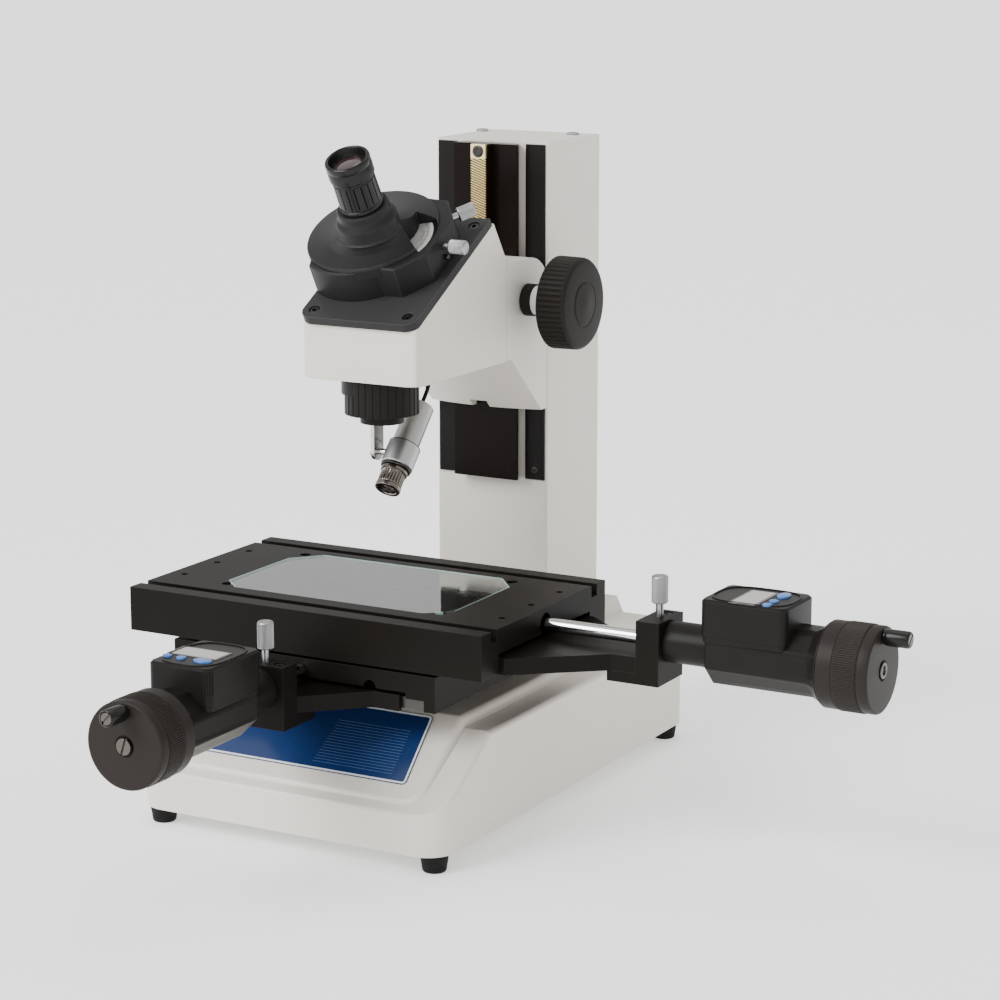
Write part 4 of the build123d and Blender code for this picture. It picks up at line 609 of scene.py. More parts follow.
def rings(*rows: Sequence[float]) -> list[Ring]:
    """Return a turned outline from the values of each of its rings."""
    return [Ring(*row) for row in rows]


def rod(radius: float, low: float, high: float) -> list[Ring]:
    """Return the outline of a plain rod between two heights."""
    return rings((0, low), (radius, low), (radius, high), (0, high))


def bend(start: Bent, corner: Bent, end: Bent, t: float) -> Bent:
    """Return the spot at t, from 0 to 1, on the curve that rounds a corner.

    Args:
        start: where the curve starts, a number or a vector.
        corner: the corner that it rounds.
        end: where it ends.
        t: how far along it the spot is.

    Returns:
        The spot, of the same kind.
    """
    return (1 - t) ** 2 * start + 2 * t * (1 - t) * corner + t ** 2 * end


def softened(outline: Sequence[Ring], size: float, steps: int = 3) -> list[Ring]:
    """Round the corners of a turned outline.

    Args:
        outline: its corners.
        size: how far from a corner its rounding starts.
        steps: how many rings each rounding has.

    Returns:
        The longer outline.
    """
    made = [outline[0]]
    for before, corner, after in zip(outline, outline[1:], outline[2:]):
        back = math.hypot(before.radius - corner.radius, before.height - corner.height)
        on = math.hypot(after.radius - corner.radius, after.height - corner.height)
        if min(back, on) < TINY:
            made.append(corner)
            continue
        a = min(size / back, 0.45)
        b = min(size / on, 0.45)
        for step in range(steps):
            radius, height = (
                bend(mid + a * (low - mid), mid, mid + b * (high - mid), step / (steps - 1))
                for low, mid, high in ((before.radius, corner.radius, after.radius),
                                       (before.height, corner.height, after.height)))
            made.append(Ring(radius, height, corner.rib, corner.sides))
    made.append(outline[-1])
    return made


def rib_cut(turn: float, land: float) -> float:
    """Return how deep the groove between two ribs is.

    Args:
        turn: the place round the piece, counted in ribs.
        land: the share of each rib's pitch that is flat.

    Returns:
        The depth, from 0 to 1.
    """
    part = turn % 1.0
    if part < land:
        return 0.0
    return math.sin(math.pi * (part - land) / (1.0 - land)) ** 0.7


def in_polygon(radius: float, sides: int, angle: float) -> float:
    """Return the radius of a polygon's wall in this direction."""
    half = math.pi / sides
    return radius * math.cos(half) / math.cos((angle + half) % (2 * half) - half)


def into_object(name: str, mesh: Mesh, sharp: float = 32.0) -> Piece:
    """Turn a built mesh into a smooth-shaded object.

    Args:
        name: the piece's name.
        mesh: the built mesh, which is freed.
        sharp: the angle over which an edge stays sharp, in degrees.

    Returns:
        The object, in the scene.
    """
    bmesh.ops.recalc_face_normals(mesh, faces=mesh.faces)
    data = bpy.data.meshes.new(name)
    mesh.to_mesh(data)
    mesh.free()
    data.polygons.foreach_set("use_smooth", [True] * len(data.polygons))
    data.set_sharp_from_angle(angle=math.radians(sharp))
    piece = bpy.data.objects.new(name, data)
    bpy.context.scene.collection.objects.link(piece)
    return piece


def wall(mesh: Mesh, lower: Sequence[Vertex], upper: Sequence[Vertex]) -> None:
    """Close the wall between two loops of a mesh."""
    for step, corner in enumerate(lower):
        on = (step + 1) % len(lower)
        mesh.faces.new((corner, lower[on], upper[on], upper[step]))


def loft(mesh: Mesh, loops: Sequence[Sequence[Vertex]]) -> None:
    """Close the walls between loops of a mesh, and its two ends.

    Args:
        mesh: the mesh that the loops are in.
        loops: the loops, from one end to the other, all of as many vertices.
    """
    for lower, upper in zip(loops, loops[1:]):
        wall(mesh, lower, upper)
    mesh.faces.new(loops[0])
    mesh.faces.new(tuple(reversed(loops[-1])))


def turn_into(mesh: Mesh, stand: Stand, outline: Sequence[Ring],
              how: Turning = Turning()) -> None:
    """Turn an outline round an axis into a mesh.

    Args:
        mesh: the mesh that takes it.
        stand: where its axis stands.
        outline: its rings, from one end to the other.
        how: how it is turned.
    """
    loops = []
    for ring in outline:
        if ring.radius <= 0:
            loops.append([mesh.verts.new(stand.at(ring.x, ring.y, ring.height))])
            continue
        loop = []
        for step in range(how.around):
            angle = 2 * math.pi * step / how.around
            radius = ring.radius
            if ring.sides:
                radius = in_polygon(radius, ring.sides, angle)
            if how.ribs and ring.rib:
                radius -= ring.rib * rib_cut(step * how.ribs / how.around, how.land)
            loop.append(mesh.verts.new(stand.at(ring.x + radius * math.cos(angle),
                                                ring.y + radius * math.sin(angle) * how.flat,
                                                ring.height)))
        loops.append(loop)
    pairs = list(zip(loops, loops[1:]))
    if how.closed:
        pairs.append((loops[-1], loops[0]))
    for low, high in pairs:
        if len(low) == len(high) > 1:
            wall(mesh, low, high)
        elif len(low) != len(high):
            for step in range(how.around):
                on = (step + 1) % how.around
                corners = ((low[0], high[step], high[on]) if len(low) == 1
                           else (low[step], low[on], high[0]))
                mesh.faces.new(corners)


def turned(name: str, stand: Stand, outline: Sequence[Ring],
           how: Turning = Turning()) -> Piece:
    """Turn a piece of its own.

    Args:
        name: the piece's name.
        stand: where its axis stands.
        outline: its rings, from one end to the other.
        how: how it is turned.

    Returns:
        The turned piece.
    """
    mesh = bmesh.new()
    turn_into(mesh, stand, outline, how)
    return into_object(name, mesh)


def slab_into(mesh: Mesh, stand: Stand, outline: Sequence[Point], low: float,
              high: float, edge: float = 0.0, hole: Sequence[Point] = ()) -> None:
    """Cut a slab of an outline, with chamfered upper edges, into a mesh.

    Args:
        mesh: the mesh that takes it.
        stand: where it lies.
        outline: its corners, in order.
        low: its lower height.
        high: its upper height.
        edge: how wide its upper chamfer is.
        hole: the corners of a hole, as many as the outline has.
    """
    def loop(points: Sequence[Point], height: float) -> Sequence[Vertex]:
        """Return a loop of corners at a height."""
        return [mesh.verts.new(stand.at(x, y, height)) for x, y in points]

    chain = [loop(outline, low)]
    if edge:
        chain.append(loop(outline, high - edge))
        chain.append(loop(drawn_in(outline, edge), high))
    else:
        chain.append(loop(outline, high))
    for lower, upper in zip(chain, chain[1:]):
        wall(mesh, lower, upper)
    if hole:
        inner_low = loop(hole, low)
        inner_high = loop(hole, high)
        wall(mesh, inner_high, inner_low)
        wall(mesh, chain[-1], inner_high)
        wall(mesh, inner_low, chain[0])
    else:
        mesh.faces.new(chain[-1])
        mesh.faces.new(tuple(reversed(chain[0])))


def slab(name: str, stand: Stand, outline: Sequence[Point], low: float, high: float,
         edge: float = 0.0, hole: Sequence[Point] = ()) -> Piece:
    """Cut a slab of its own.

    Args:
        name: the piece's name.
        stand: where it lies.
        outline: its corners, in order.
        low: its lower height.
        high: its upper height.
        edge: how wide its upper chamfer is.
        hole: the corners of a hole, as many as the outline has.

    Returns:
        The slab.
    """
    mesh = bmesh.new()
    slab_into(mesh, stand, outline, low, high, edge, hole)
    return into_object(name, mesh)


def drawn_in(outline: Sequence[Point], inset: float) -> list[Point]:
    """Move an outline inward, square to its sides.

    Args:
        outline: its corners, in order.
        inset: how far it moves.

    Returns:
        The inner outline, with as many corners.
    """
    following = list(outline[1:]) + [outline[0]]
    area = sum(a[0] * b[1] - b[0] * a[1] for a, b in zip(outline, following))
    turn = 1.0 if area > 0 else -1.0
    made = []
    for index, (corner, after) in enumerate(zip(outline, following)):
        before = outline[index - 1]
        first = Vector((corner[0] - before[0], corner[1] - before[1])).normalized()
        second = Vector((after[0] - corner[0], after[1] - corner[1])).normalized()
        normal_a = Vector((-first.y, first.x)) * turn
        normal_b = Vector((-second.y, second.x)) * turn
        middle = normal_a + normal_b
        if middle.length < TINY:
            made.append(corner)
            continue
        middle.normalize()
        step = inset / max(SHARPEST, middle.dot(normal_a))
        made.append((corner[0] + middle.x * step, corner[1] + middle.y * step))
    return made


def arc(middle: Point, radius: float, start: float, end: float, steps: int = 12) -> list[Point]:
    """Return points along an arc.

    Args:
        middle: the arc's centre.
        radius: its radius.
        start: the angle where it starts, in degrees.
        end: the angle where it ends, in degrees.
        steps: how many parts it has.

    Returns:
        One point more than it has parts.
    """
    made = []
    for step in range(steps + 1):
        angle = math.radians(start + (end - start) * step / steps)
        made.append((middle[0] + radius * math.cos(angle), middle[1] + radius * math.sin(angle)))
    return made


def both_halves(right: Sequence[Point]) -> list[Point]:
    """Return a whole outline from its right half, mirrored at x = 0."""
    return list(right) + [(-x, y) for x, y in reversed(right)]


def carved(piece: Piece, cutters: Sequence[Piece],
           sharp: float = 32.0) -> Piece:
    """Cut each cutter's shape out of a piece.

    Args:
        piece: the piece, which keeps its name.
        cutters: the solid cutters, which stay as they are.
        sharp: the angle over which an edge stays sharp, in degrees.

    Returns:
        The same piece with its new mesh.
    """
    for cutter in cutters:
        cut = piece.modifiers.new(cutter.name, "BOOLEAN")
        cut.operation = "DIFFERENCE"
        cut.solver = "EXACT"
        cut.object = cutter
    bpy.context.view_layer.update()
    graph = bpy.context.evaluated_depsgraph_get()
    mesh = bpy.data.meshes.new_from_object(piece.evaluated_get(graph))
    piece.modifiers.clear()
    piece.data = mesh
    mesh.set_sharp_from_angle(angle=math.radians(sharp))
    return piece


def put_away(cutters: Iterable[Piece]) -> None:
    """Take used cutters out of the scene."""
    for cutter in cutters:
        bpy.data.objects.remove(cutter)


def round_box(half_x: float, half_y: float, radius: float, mid: Point = (0.0, 0.0),
              steps: int = 6) -> list[Point]:
    """Return the outline of a rectangle with rounded corners.

    Args:
        half_x: half its length along x.
        half_y: half its length along y.
        radius: its corners' radius.
        mid: its middle.
        steps: how many parts each corner has.

    Returns:
        The outline's points.
    """
    made = []
    for turn, (sx, sy) in enumerate(((1, 1), (-1, 1), (-1, -1), (1, -1))):
        for step in range(steps + 1):
            angle = math.pi / 2 * (turn + step / steps)
            made.append((mid[0] + sx * (half_x - radius) + radius * math.cos(angle),
                         mid[1] + sy * (half_y - radius) + radius * math.sin(angle)))
    return made


def oval(half_x: float, half_y: float, power: float = 2.6, mid: Point = (0.0, 0.0),
         steps: int = 64) -> list[Point]:
    """Return the outline of an oval.

    Args:
        half_x: half its length along x.
        half_y: half its length along y.
        power: how full it is: 2 for an ellipse, more for fuller corners.
        mid: its middle.
        steps: how many points it has.

    Returns:
        The outline's points.
    """
    made = []
    for step in range(steps):
        angle = 2 * math.pi * step / steps
        c, s = math.cos(angle), math.sin(angle)
        made.append((mid[0] + half_x * math.copysign(abs(c) ** (2 / power), c),
                     mid[1] + half_y * math.copysign(abs(s) ** (2 / power), s)))
    return made


def slotted_head(mesh: Mesh, stand: Stand, radius: float, height: float,
                 slot: float, depth: float) -> None:
    """Add a flat screw head with a straight slot.

    Args:
        mesh: the mesh that takes it.
        stand: the middle of the head's underside.
        radius: the head's radius.
        height: how far it stands up.
        slot: the slot's width.
        depth: the slot's depth.
    """
    turn_into(mesh, stand, rod(radius, 0, height - depth), Turning(40))
    reach = math.asin(slot / 2 / radius)
    for sign in (1, -1):
        outline = []
        for step in range(21):
            angle = reach + (math.pi - 2 * reach) * step / 20
            outline.append((radius * math.cos(angle), sign * radius * math.sin(angle)))
        slab_into(mesh, stand, outline, height - depth, height, 0.18)


def socket_head(mesh: Mesh, stand: Stand, radius: float, height: float,
                key: float, depth: float) -> None:
    """Add a screw head with a hexagonal socket.

    Args:
        mesh: the mesh that takes it.
        stand: the middle of the head's underside.
        radius: the head's radius.
        height: how far it stands up.
        key: the socket's radius over its corners.
        depth: the socket's depth.
    """
    outline = rings(
        (0, 0), (radius, 0), (radius, height - 0.35), (radius - 0.1, height - 0.1),
        (radius - 0.35, height), (key + 0.15, height, 0, 6), (key, height - 0.15, 0, 6),
        (key, height - depth, 0, 6), (0, height - depth - 0.2))
    turn_into(mesh, stand, outline, Turning(48))


def knurled(length: float, radius: float, groove: float, neck: float,
            neck_length: float) -> list[Ring]:
    """Return the outline of a thumb screw: a plain neck, then a ribbed head.

    Args:
        length: the head's length.
        radius: the head's radius.
        groove: how deep its ribs are cut.
        neck: the neck's radius.
        neck_length: the neck's length, below the head.

    Returns:
        The outline, with the head's underside at height 0.
    """
    return rings(
        (0, -neck_length), (neck, -neck_length), (neck, -0.02), (radius - 0.7, 0),
        (radius - 0.15, 0.45), (radius, 0.75, groove * 0.4), (radius, 1.1, groove),
        (radius, length - 1.5, groove), (radius, length - 1.2, groove * 0.3),
        (radius - 0.1, length - 1.0), (radius - 0.45, length - 0.5), (radius - 0.9, length - 0.25),
        (radius * 0.55, length - 0.05), (radius * 0.5, length - 0.3), (radius * 0.2, length - 0.34),
        (0, length - 0.34))


# What every sub-assembly shares


class Workshop:
    """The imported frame, and what is needed to dress it."""

    def __init__(self) -> None:
        """Load the frame."""
        self.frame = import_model()
        self.made: dict[Finishes, bpy.types.Material] = {}

    def material(self, finish: Finishes) -> bpy.types.Material:
        """Return a finish's material, made once."""
        if finish not in self.made:
            self.made[finish] = finish.value.make()
        return self.made[finish]

    def dress(self, finish: Finishes, *nodes: str) -> None:
        """Give nodes of the frame a finish."""
        for node in nodes:
            piece = self.frame["nodes"][node]
            if not piece.material_slots:
                piece.data.materials.append(self.material(finish))
            for slot in piece.material_slots:
                slot.material = self.material(finish)
            LOG.info("dressed %s with %s", node, finish.value.name)

    def fit(self, piece: Piece, body: str, finish: Finishes,
            instead_of: Iterable[str] = ()) -> Piece:
        """Finish a piece and let it ride.

        Args:
            piece: the built piece.
            body: the body that it rides on.
            finish: its finish.
            instead_of: the nodes that it stands for.

        Returns:
            The same piece.
        """
        piece.data.materials.clear()
        piece.data.materials.append(self.material(finish))
        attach(piece, body)
        nodes = tuple(instead_of)
        if nodes:
            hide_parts(*nodes)
        LOG.info("fitted %s on %s", piece.name, body)
        return piece


# Base


@dataclass
class BaseCasting:
    """The base with its feet, blue front plate and rear fittings."""

    shop: Workshop
    foot_places: tuple[tuple[float, float], ...] = ((93.5, -96.5), (-93.5, -96.5),
                                                    (93.5, 202.5), (-93.5, 202.5))
    foot_height: float = 11.1
    foot_top: float = 8.5
    foot_low: float = 7.0
    plate_origin: Triple = (0.0, -104.0, 40.5)
    plate_rise: float = 0.75
    plate_thick: float = 0.8
    plate_low: float = 11.0
    plate_top: float = 60.5
    plate_low_half: float = 73.8
    plate_top_half: float = 69.8
    plate_corner: float = 3.0
    line_from: float = 0.3
    line_to: float = 1.5
    stripes: int = 16
    stripe_low: float = 16.5
    stripe_pitch: float = 2.05
    stripe_width: float = 0.45
    stripe_from: float = 7.2
    stripe_to: float = 63.0
    stripe_lean: float = 0.10

    def build(self) -> None:
        """Build and dress the base."""
        self.shop.dress(Finishes.WHITE, "base_housing")
        self.shop.dress(Finishes.FLOOR_PLATE, "base_bottom_plate")
        self.shop.dress(Finishes.PLATE, "front_plate")
        self.shop.dress(Finishes.PLASTIC, "power_inlet", "power_switch", "dimmer_knob")
        self._feet()
        self._plate_lines()

    def _feet(self) -> None:
        """Turn the four rubber feet."""
        low, top, height = self.foot_low, self.foot_top, self.foot_height
        slope = (top - low) / height
        outline = softened(rings(
            (0, 1.6), (2.6, 1.6), (2.6, 0.5), (3.4, 0), (low - 0.8, 0), (low, 0.8),
            (low + slope * 3.5, 3.5), (low + slope * 3.9 - 0.25, 3.9), (low + slope * 4.3, 4.3),
            (top - 0.1, height - 0.8), (top, height - 0.5), (top, height), (0, height)), 0.35)
        mesh = bmesh.new()
        for x, y in self.foot_places:
            turn_into(mesh, Stand((x, y, 0)), outline, Turning(48))
        self.shop.fit(into_object("rubber_feet", mesh), "base", Finishes.RUBBER, ["feet"])

    def _plate_stand(self) -> Stand:
        """Return the stand of the sloping front plate, its y running up the slope."""
        run = math.hypot(1.0, self.plate_rise)
        axis = (0.0, -self.plate_rise / run, 1.0 / run)
        return Stand(self.plate_origin, (1.0, 0.0, 0.0), axis)

    def _plate_outline(self, inset: float) -> list[Point]:
        """Return the plate's outline with its rounded corners.

        Args:
            inset: how far it is drawn in.

        Returns:
            The outline's points.
        """
        corners = both_halves([(self.plate_low_half, self.plate_low),
                               (self.plate_top_half, self.plate_top)])
        corners = corners[-1:] + corners[:-1]
        made: list[Point] = []
        for before, corner, after in zip(corners[-1:] + corners, corners,
                                         corners[1:] + corners[:1]):
            middle = Vector(corner)
            start = middle + (Vector(before) - middle).normalized() * self.plate_corner
            end = middle + (Vector(after) - middle).normalized() * self.plate_corner
            made.extend(tuple(bend(start, middle, end, step / 4)) for step in range(5))
        return drawn_in(made, inset)

    def _plate_lines(self) -> None:
        """Lay the plate's white border line and its stripes."""
        stand = self._plate_stand()
        sunk, top = self.plate_thick - 0.05, self.plate_thick
        border = slab("plate_border", stand, self._plate_outline(self.line_from), sunk,
                      top + 0.06, 0.0, self._plate_outline(self.line_to))
        self.shop.fit(border, "base", Finishes.PLATE_LINE)
        mesh = bmesh.new()
        for index in range(self.stripes):
            y = self.stripe_low + index * self.stripe_pitch
            high = y + self.stripe_width
            start = self.stripe_from + y * self.stripe_lean
            end = self.stripe_to - (y - self.plate_low) * 0.075
            slab_into(mesh, stand, [(start, y), (end, y), (end, high), (start, high)], sunk,
                      top + 0.04)
        self.shop.fit(into_object("plate_stripes", mesh), "base", Finishes.PLATE_STRIPE)


# Column


@dataclass
class Column:
    """The column with its cap, guide strips, dovetail, rack and screws."""

    shop: Workshop
    top: float = 391.5
    front: float = 138.9
    cap_screws: tuple[Point, ...] = ((-37.0, 192.5), (27.0, 196.5))
    strip_x: float = 31.3
    strip_low: float = 178.0
    strip_in: float = 24.6
    strip_out: float = 38.0
    strip_front: float = 137.7
    strip_top: float = 390.0
    way_front: float = 130.0
    way_half: float = 22.6
    rack_half: float = 5.2
    rack_tip: float = 121.0
    rack_root: float = 122.1
    rack_low: float = 246.0
    rack_top: float = 390.3
    pad_low: float = 381.2
    tooth_pitch: float = 1.57
    tooth_slant: float = 0.35
    rack_screw_z: float = 385.8

    def build(self) -> None:
        """Build and dress the column."""
        self.shop.dress(Finishes.WHITE, "column", "column_top_cap")
        self._guides()
        self._rack()
        self._screws()

    def _guides(self) -> None:
        """Cut the two guide strips and the dovetail, up to the cap's thin edge."""
        back = self.front + 0.05
        mesh = bmesh.new()
        for sign in (1, -1):
            inner, outer = sign * self.strip_in, sign * self.strip_out
            slab_into(mesh, UPRIGHT, [(inner, self.strip_front), (outer, self.strip_front),
                                      (outer, back), (inner, back)], self.strip_low,
                      self.strip_top)
        self.shop.fit(into_object("black_guide_strips", mesh), "base", Finishes.GUIDE_BLACK,
                      ["guide_strips"])
        half = self.way_half
        outline = [(-half, self.way_front), (half, self.way_front), (half, self.way_front + 2.5),
                   (half - 4.0, back), (4.0 - half, back), (-half, self.way_front + 2.5)]
        way = slab("dovetail_way", UPRIGHT, outline, self.strip_low, self.strip_top)
        self.shop.fit(way, "base", Finishes.DOVETAIL, ["dovetail_rail"])

    def _rack(self) -> None:
        """Cut the rack with its slanting teeth and the pad at its top."""
        half, back = self.rack_half, self.way_front + 0.05
        inner = half - 0.02
        # The body behind the teeth is the same brass painted darker, as painted shade in the
        # grooves.
        body = slab("rack_body", UPRIGHT, [(-inner, self.rack_root), (inner, self.rack_root),
                                           (inner, back), (-inner, back)], self.rack_low,
                    self.rack_top - 0.1)
        self.shop.fit(body, "base", Finishes.GROOVE_SHADE_BRASS)
        mesh = bmesh.new()
        pad = [(-half, self.rack_tip - 0.1), (half, self.rack_tip - 0.1),
               (half, self.rack_root + 1.0), (-half, self.rack_root + 1.0)]
        slab_into(mesh, UPRIGHT, pad, self.pad_low, self.rack_top, 0.4)
        shift = self.tooth_slant * half
        height = self.rack_low + shift
        sunk = self.rack_root + 0.05
        tooth = [(sunk, 0.42), (self.rack_tip, 0.50), (self.rack_tip, 0.98), (sunk, 1.12)]
        while height + self.tooth_pitch + shift < self.pad_low + 2.0 * shift:
            loft(mesh, [[mesh.verts.new(UPRIGHT.at(x, y, height + rise + z)) for y, z in tooth]
                        for x, rise in ((-half, shift), (half, -shift))])
            height += self.tooth_pitch
        self.shop.fit(into_object("toothed_rack", mesh, 20.0), "base", Finishes.BRASS, ["rack"])

    def _screws(self) -> None:
        """Make the cap screws, one strip screw and the rack's socket screw."""
        mesh = bmesh.new()
        for x, y in self.cap_screws:
            turn_into(mesh, Stand((x, y, self.top)), rings(
                (0, 0), (4.0, 0), (4.0, 0.9), (3.6, 1.35), (2.6, 1.6), (2.2, 1.55, 0, 6),
                (2.1, 0.7, 0, 6), (0, 0.5)), Turning(48))
        self.shop.fit(into_object("cap_screws", mesh), "base", Finishes.KNURL, ["column_screws"])
        stand = Stand((self.strip_x, self.strip_front + 0.42, self.strip_low + 6.0), (1, 0, 0),
                      (0, -1, 0))
        screw = turned("strip_screw", stand, rings(
            (0, 0), (2.6, 0), (2.5, 0.3), (1.9, 0.55), (1.3, 0.6), (1.1, 0.55, 0, 6),
            (1.0, 0.2, 0, 6), (0, 0.1)), Turning(36))
        self.shop.fit(screw, "base", Finishes.SCREW_BLACK)
        stand = Stand((0, self.rack_tip - 0.1, self.rack_screw_z), (1, 0, 0), (0, -1, 0))
        screw = turned("rack_screw", stand, rings(
            (0, 0), (3.8, 0), (3.8, 0.25), (3.5, 0.4), (2.2, 0.4, 0, 6), (2.0, 0.1, 0, 6),
            (0, 0.06)), Turning(48))
        self.shop.fit(screw, "base", Finishes.SCREW_BLACK)


# Stage


@dataclass
class Stage:
    """The two slides of the stage, the table and its glass."""

    shop: Workshop
    glass_half: float = 78.5
    glass_front: float = -59.5
    glass_rear: float = 37.5
    cut_front: float = 13.5
    cut_rear_x: float = 15.0
    cut_rear_y: float = 18.0
    glass_top: float = 138.8
    glass_thick: float = 3.8
    rim_inset: float = 0.05
    rim_width: float = 0.70

    def build(self) -> None:
        """Build and dress the stage."""
        self.shop.dress(Finishes.RAIL, "y_rail_plate", "x_rail_plate")
        self.shop.dress(Finishes.STAGE, "saddle", "table", "y_bracket_arm", "x_bracket_arm",
                        "x_bracket_block", "y_bracket_block")
        self._glass()

    def _outline(self) -> list[Point]:
        """Return the eight corners of the glass."""
        return both_halves([(self.glass_half - self.cut_front, self.glass_front),
                            (self.glass_half, self.glass_front + self.cut_front),
                            (self.glass_half, self.glass_rear - self.cut_rear_y),
                            (self.glass_half - self.cut_rear_x, self.glass_rear)])

    def _glass(self) -> None:
        """Cut the glass plate with its edge strip: the glass's green edge, painted bright as its
        highlight.
        """
        stand = Stand((0, 0, self.glass_top - self.glass_thick))
        inner = self.rim_inset + self.rim_width
        plate = slab("glass_plate", stand, drawn_in(self._outline(), inner - 0.15), 0.05,
                     self.glass_thick, 0.3)
        self.shop.fit(plate, "table", Finishes.STAGE_GLASS, ["stage_glass"])
        # The strip round the glass: its green edge, painted bright as a highlight.
        rim = slab("glass_edge_highlight_strip", stand, drawn_in(self._outline(), self.rim_inset), 0.1,
                   self.glass_thick + 0.02, 0.0, drawn_in(self._outline(), inner))
        self.shop.fit(rim, "table", Finishes.EDGE_GLASS_HIGHLIGHT)


# Micrometer heads


class Side(Enum):
    """Which of the two micrometer heads is meant."""

    RIGHT = "x"
    FRONT = "y"


@dataclass
class MicrometerHead:
    """One digital micrometer head on its bracket."""

    shop: Workshop
    side: Side
    stand: Stand
    body: str
    block_length: float = 14.3
    block_top: float = 13.6
    display_top: float = 32.3
    display_low: float = 8.0
    display_step: float = 11.5
    display_start: float = 41.0
    display_end: float = 93.0
    display_half: float = 20.5
    display_corner: float = 5.0
    nose_radius: float = 9.0
    bore: float = 4.35
    stem_radius: float = 12.0
    housing_start: float = 43.0
    housing_end: float = 105.0
    housing_radius: float = 20.02
    flare_radius: float = 23.6
    hub_radius: float = 8.0
    hub_end: float = 120.0
    key_u: float = 80.0
    lcd_u: float = 66.5
    lcd_v: float = -3.8
    lcd_half_u: float = 7.0
    lcd_half_v: float = 15.0
    thimble_u: float = 112.2
    thimble_end: float = 142.5
    thimble_radius: float = 24.6
    knurl_radius: float = 25.0
    crank_w: float = 19.0
    crank_radius: float = 4.8
    crank_length: float = 15.6
    clamp_w: float = 21.6
    clamp_length: float = 16.2
    clamp_radius: float = 4.75
    block_screw_v: float = 9.5
    grip_ribs: int = 5
    grip_low: float = -15.0
    grip_top: float = -1.8

    def build(self) -> None:
        """Build and dress the head."""
        self._housing()
        self.shop.dress(Finishes.BRIGHT_STEEL, self._named("spindle"))
        self._thimble()
        self._screws()
        self._crank()
        self._display()
        self._buttons()
        self._clamp()

    def _named(self, name: str) -> str:
        """Return a piece's name with the head's letter in front."""
        return f"{self.side.value}_{name}"

    def _fit(self, piece: Piece, finish: Finishes, body: str = "",
             instead_of: str = "") -> None:
        """Finish a piece of the head and let it ride.

        Args:
            piece: the built piece.
            finish: its finish.
            body: the head's own body that it rides on, or nothing for the one that holds it.
            instead_of: the head's own node that it stands for, if any.
        """
        self.shop.fit(piece, self._named(body) if body else self.body, finish,
                      [self._named(instead_of)] if instead_of else ())

    def _up(self, u: float, v: float, w: float) -> Stand:
        """Return a stand whose axis points up.

        Args:
            u: its place along the head.
            v: its place across the head.
            w: its height over the head's axis.

        Returns:
            The stand, whose x is the head's v and whose y is against its u.
        """
        spot = self.stand.at(v, w, u) / MM
        return Stand((spot.x, spot.y, spot.z), self.stand.across, (0.0, 0.0, 1.0))

    def _keys(self) -> tuple[tuple[str, float, float, float], ...]:
        """Return each push button's name, place across, radius and flatness."""
        return (("large", 7.5, 5.8, 0.64), ("mid", -6.6, 2.8, 1.0), ("end", -15.9, 2.8, 1.0))

    def _housing(self) -> None:
        """Build the eight-sided housing on its stem and the display box on top."""
        start, end, r = self.housing_start, self.housing_end, self.housing_radius
        flare = self.flare_radius
        outline = rings(
            (self.bore, 0.0), (self.nose_radius, 0.0), (self.nose_radius, self.block_length + 0.05),
            (self.stem_radius - 0.4, self.block_length + 0.05),
            (self.stem_radius, self.block_length + 0.5), (self.stem_radius, start + 0.3),
            (r - 1.4, start + 0.3, 0, 8), (r, start + 1.6, 0, 8), (r, end, 0, 8),
            (flare - 0.7, end + 5.8), (flare, end + 6.2), (flare, end + 6.8),
            (self.hub_radius, end + 6.9), (self.hub_radius, self.hub_end),
            (self.bore, self.hub_end))
        self._fit(turned(self._named("housing"), self.stand, outline, Turning(closed=True)),
                  Finishes.PLASTIC, "", "head_body")
        stand = self._up(0, 0, 0)
        middle = (self.display_start + self.display_end) / 2
        half_u = (self.display_end - self.display_start) / 2
        mesh = bmesh.new()
        foot = round_box(self.display_half - 0.7, half_u - 0.7, 4.4, (0.0, -middle))
        slab_into(mesh, stand, foot, self.display_low, self.display_step + 0.2)
        self._fit(into_object(self._named("display_foot"), mesh), Finishes.PLASTIC)
        outline = round_box(self.display_half, half_u, self.display_corner, (0.0, -middle))
        box = slab(self._named("display_box"), stand, outline, self.display_step,
                   self.display_top, 1.3)
        self._with_pockets(box)

    def _with_pockets(self, piece: Piece) -> None:
        """Cut the push buttons' pockets into a piece and fit it.

        Args:
            piece: the display box or its bezel.
        """
        cutters = [turned("pocket_" + name, self._up(self.key_u, v, self.display_top),
                          rod(radius + 0.25, -4.2, 2), Turning(around=48, flat=flat))
                   for name, v, radius, flat in self._keys()]
        self._fit(carved(piece, cutters), Finishes.PLASTIC)
        put_away(cutters)

    def _thimble(self) -> None:
        """Turn the hand wheel with its knurled band."""
        r, k = self.thimble_radius, self.knurl_radius
        start, end = self.thimble_u, self.thimble_end
        band, cap = start + 9.5, start + 23.5
        outline = rings(
            (8.2, start), (r - 0.5, start), (r, start + 0.5), (r, band - 0.7),
            (r - 0.35, band - 0.35), (r - 0.35, band), (k - 0.3, band + 0.1), (k, band + 0.5, 0.5),
            (k, band + 0.9, 0.5), (k, cap - 0.9, 0.5), (k, cap - 0.5, 0.5), (k - 0.3, cap - 0.1),
            (r - 0.35, cap), (r - 0.35, cap + 0.4), (r, cap + 0.75), (r, end - 1.3),
            (r - 0.35, end - 0.5), (r - 1.2, end - 0.03), (r - 1.7, end), (6.1, end),
            (5.6, end - 0.5), (5.6, end - 0.9), (4.9, end - 0.9), (4.9, end - 18), (8.2, end - 18))
        wheel = turned(self._named("hand_wheel"), self.stand, outline,
                       Turning(around=720, ribs=120, land=0.45, closed=True))
        self._fit(wheel, Finishes.WHEEL, "thimble", "thimble")

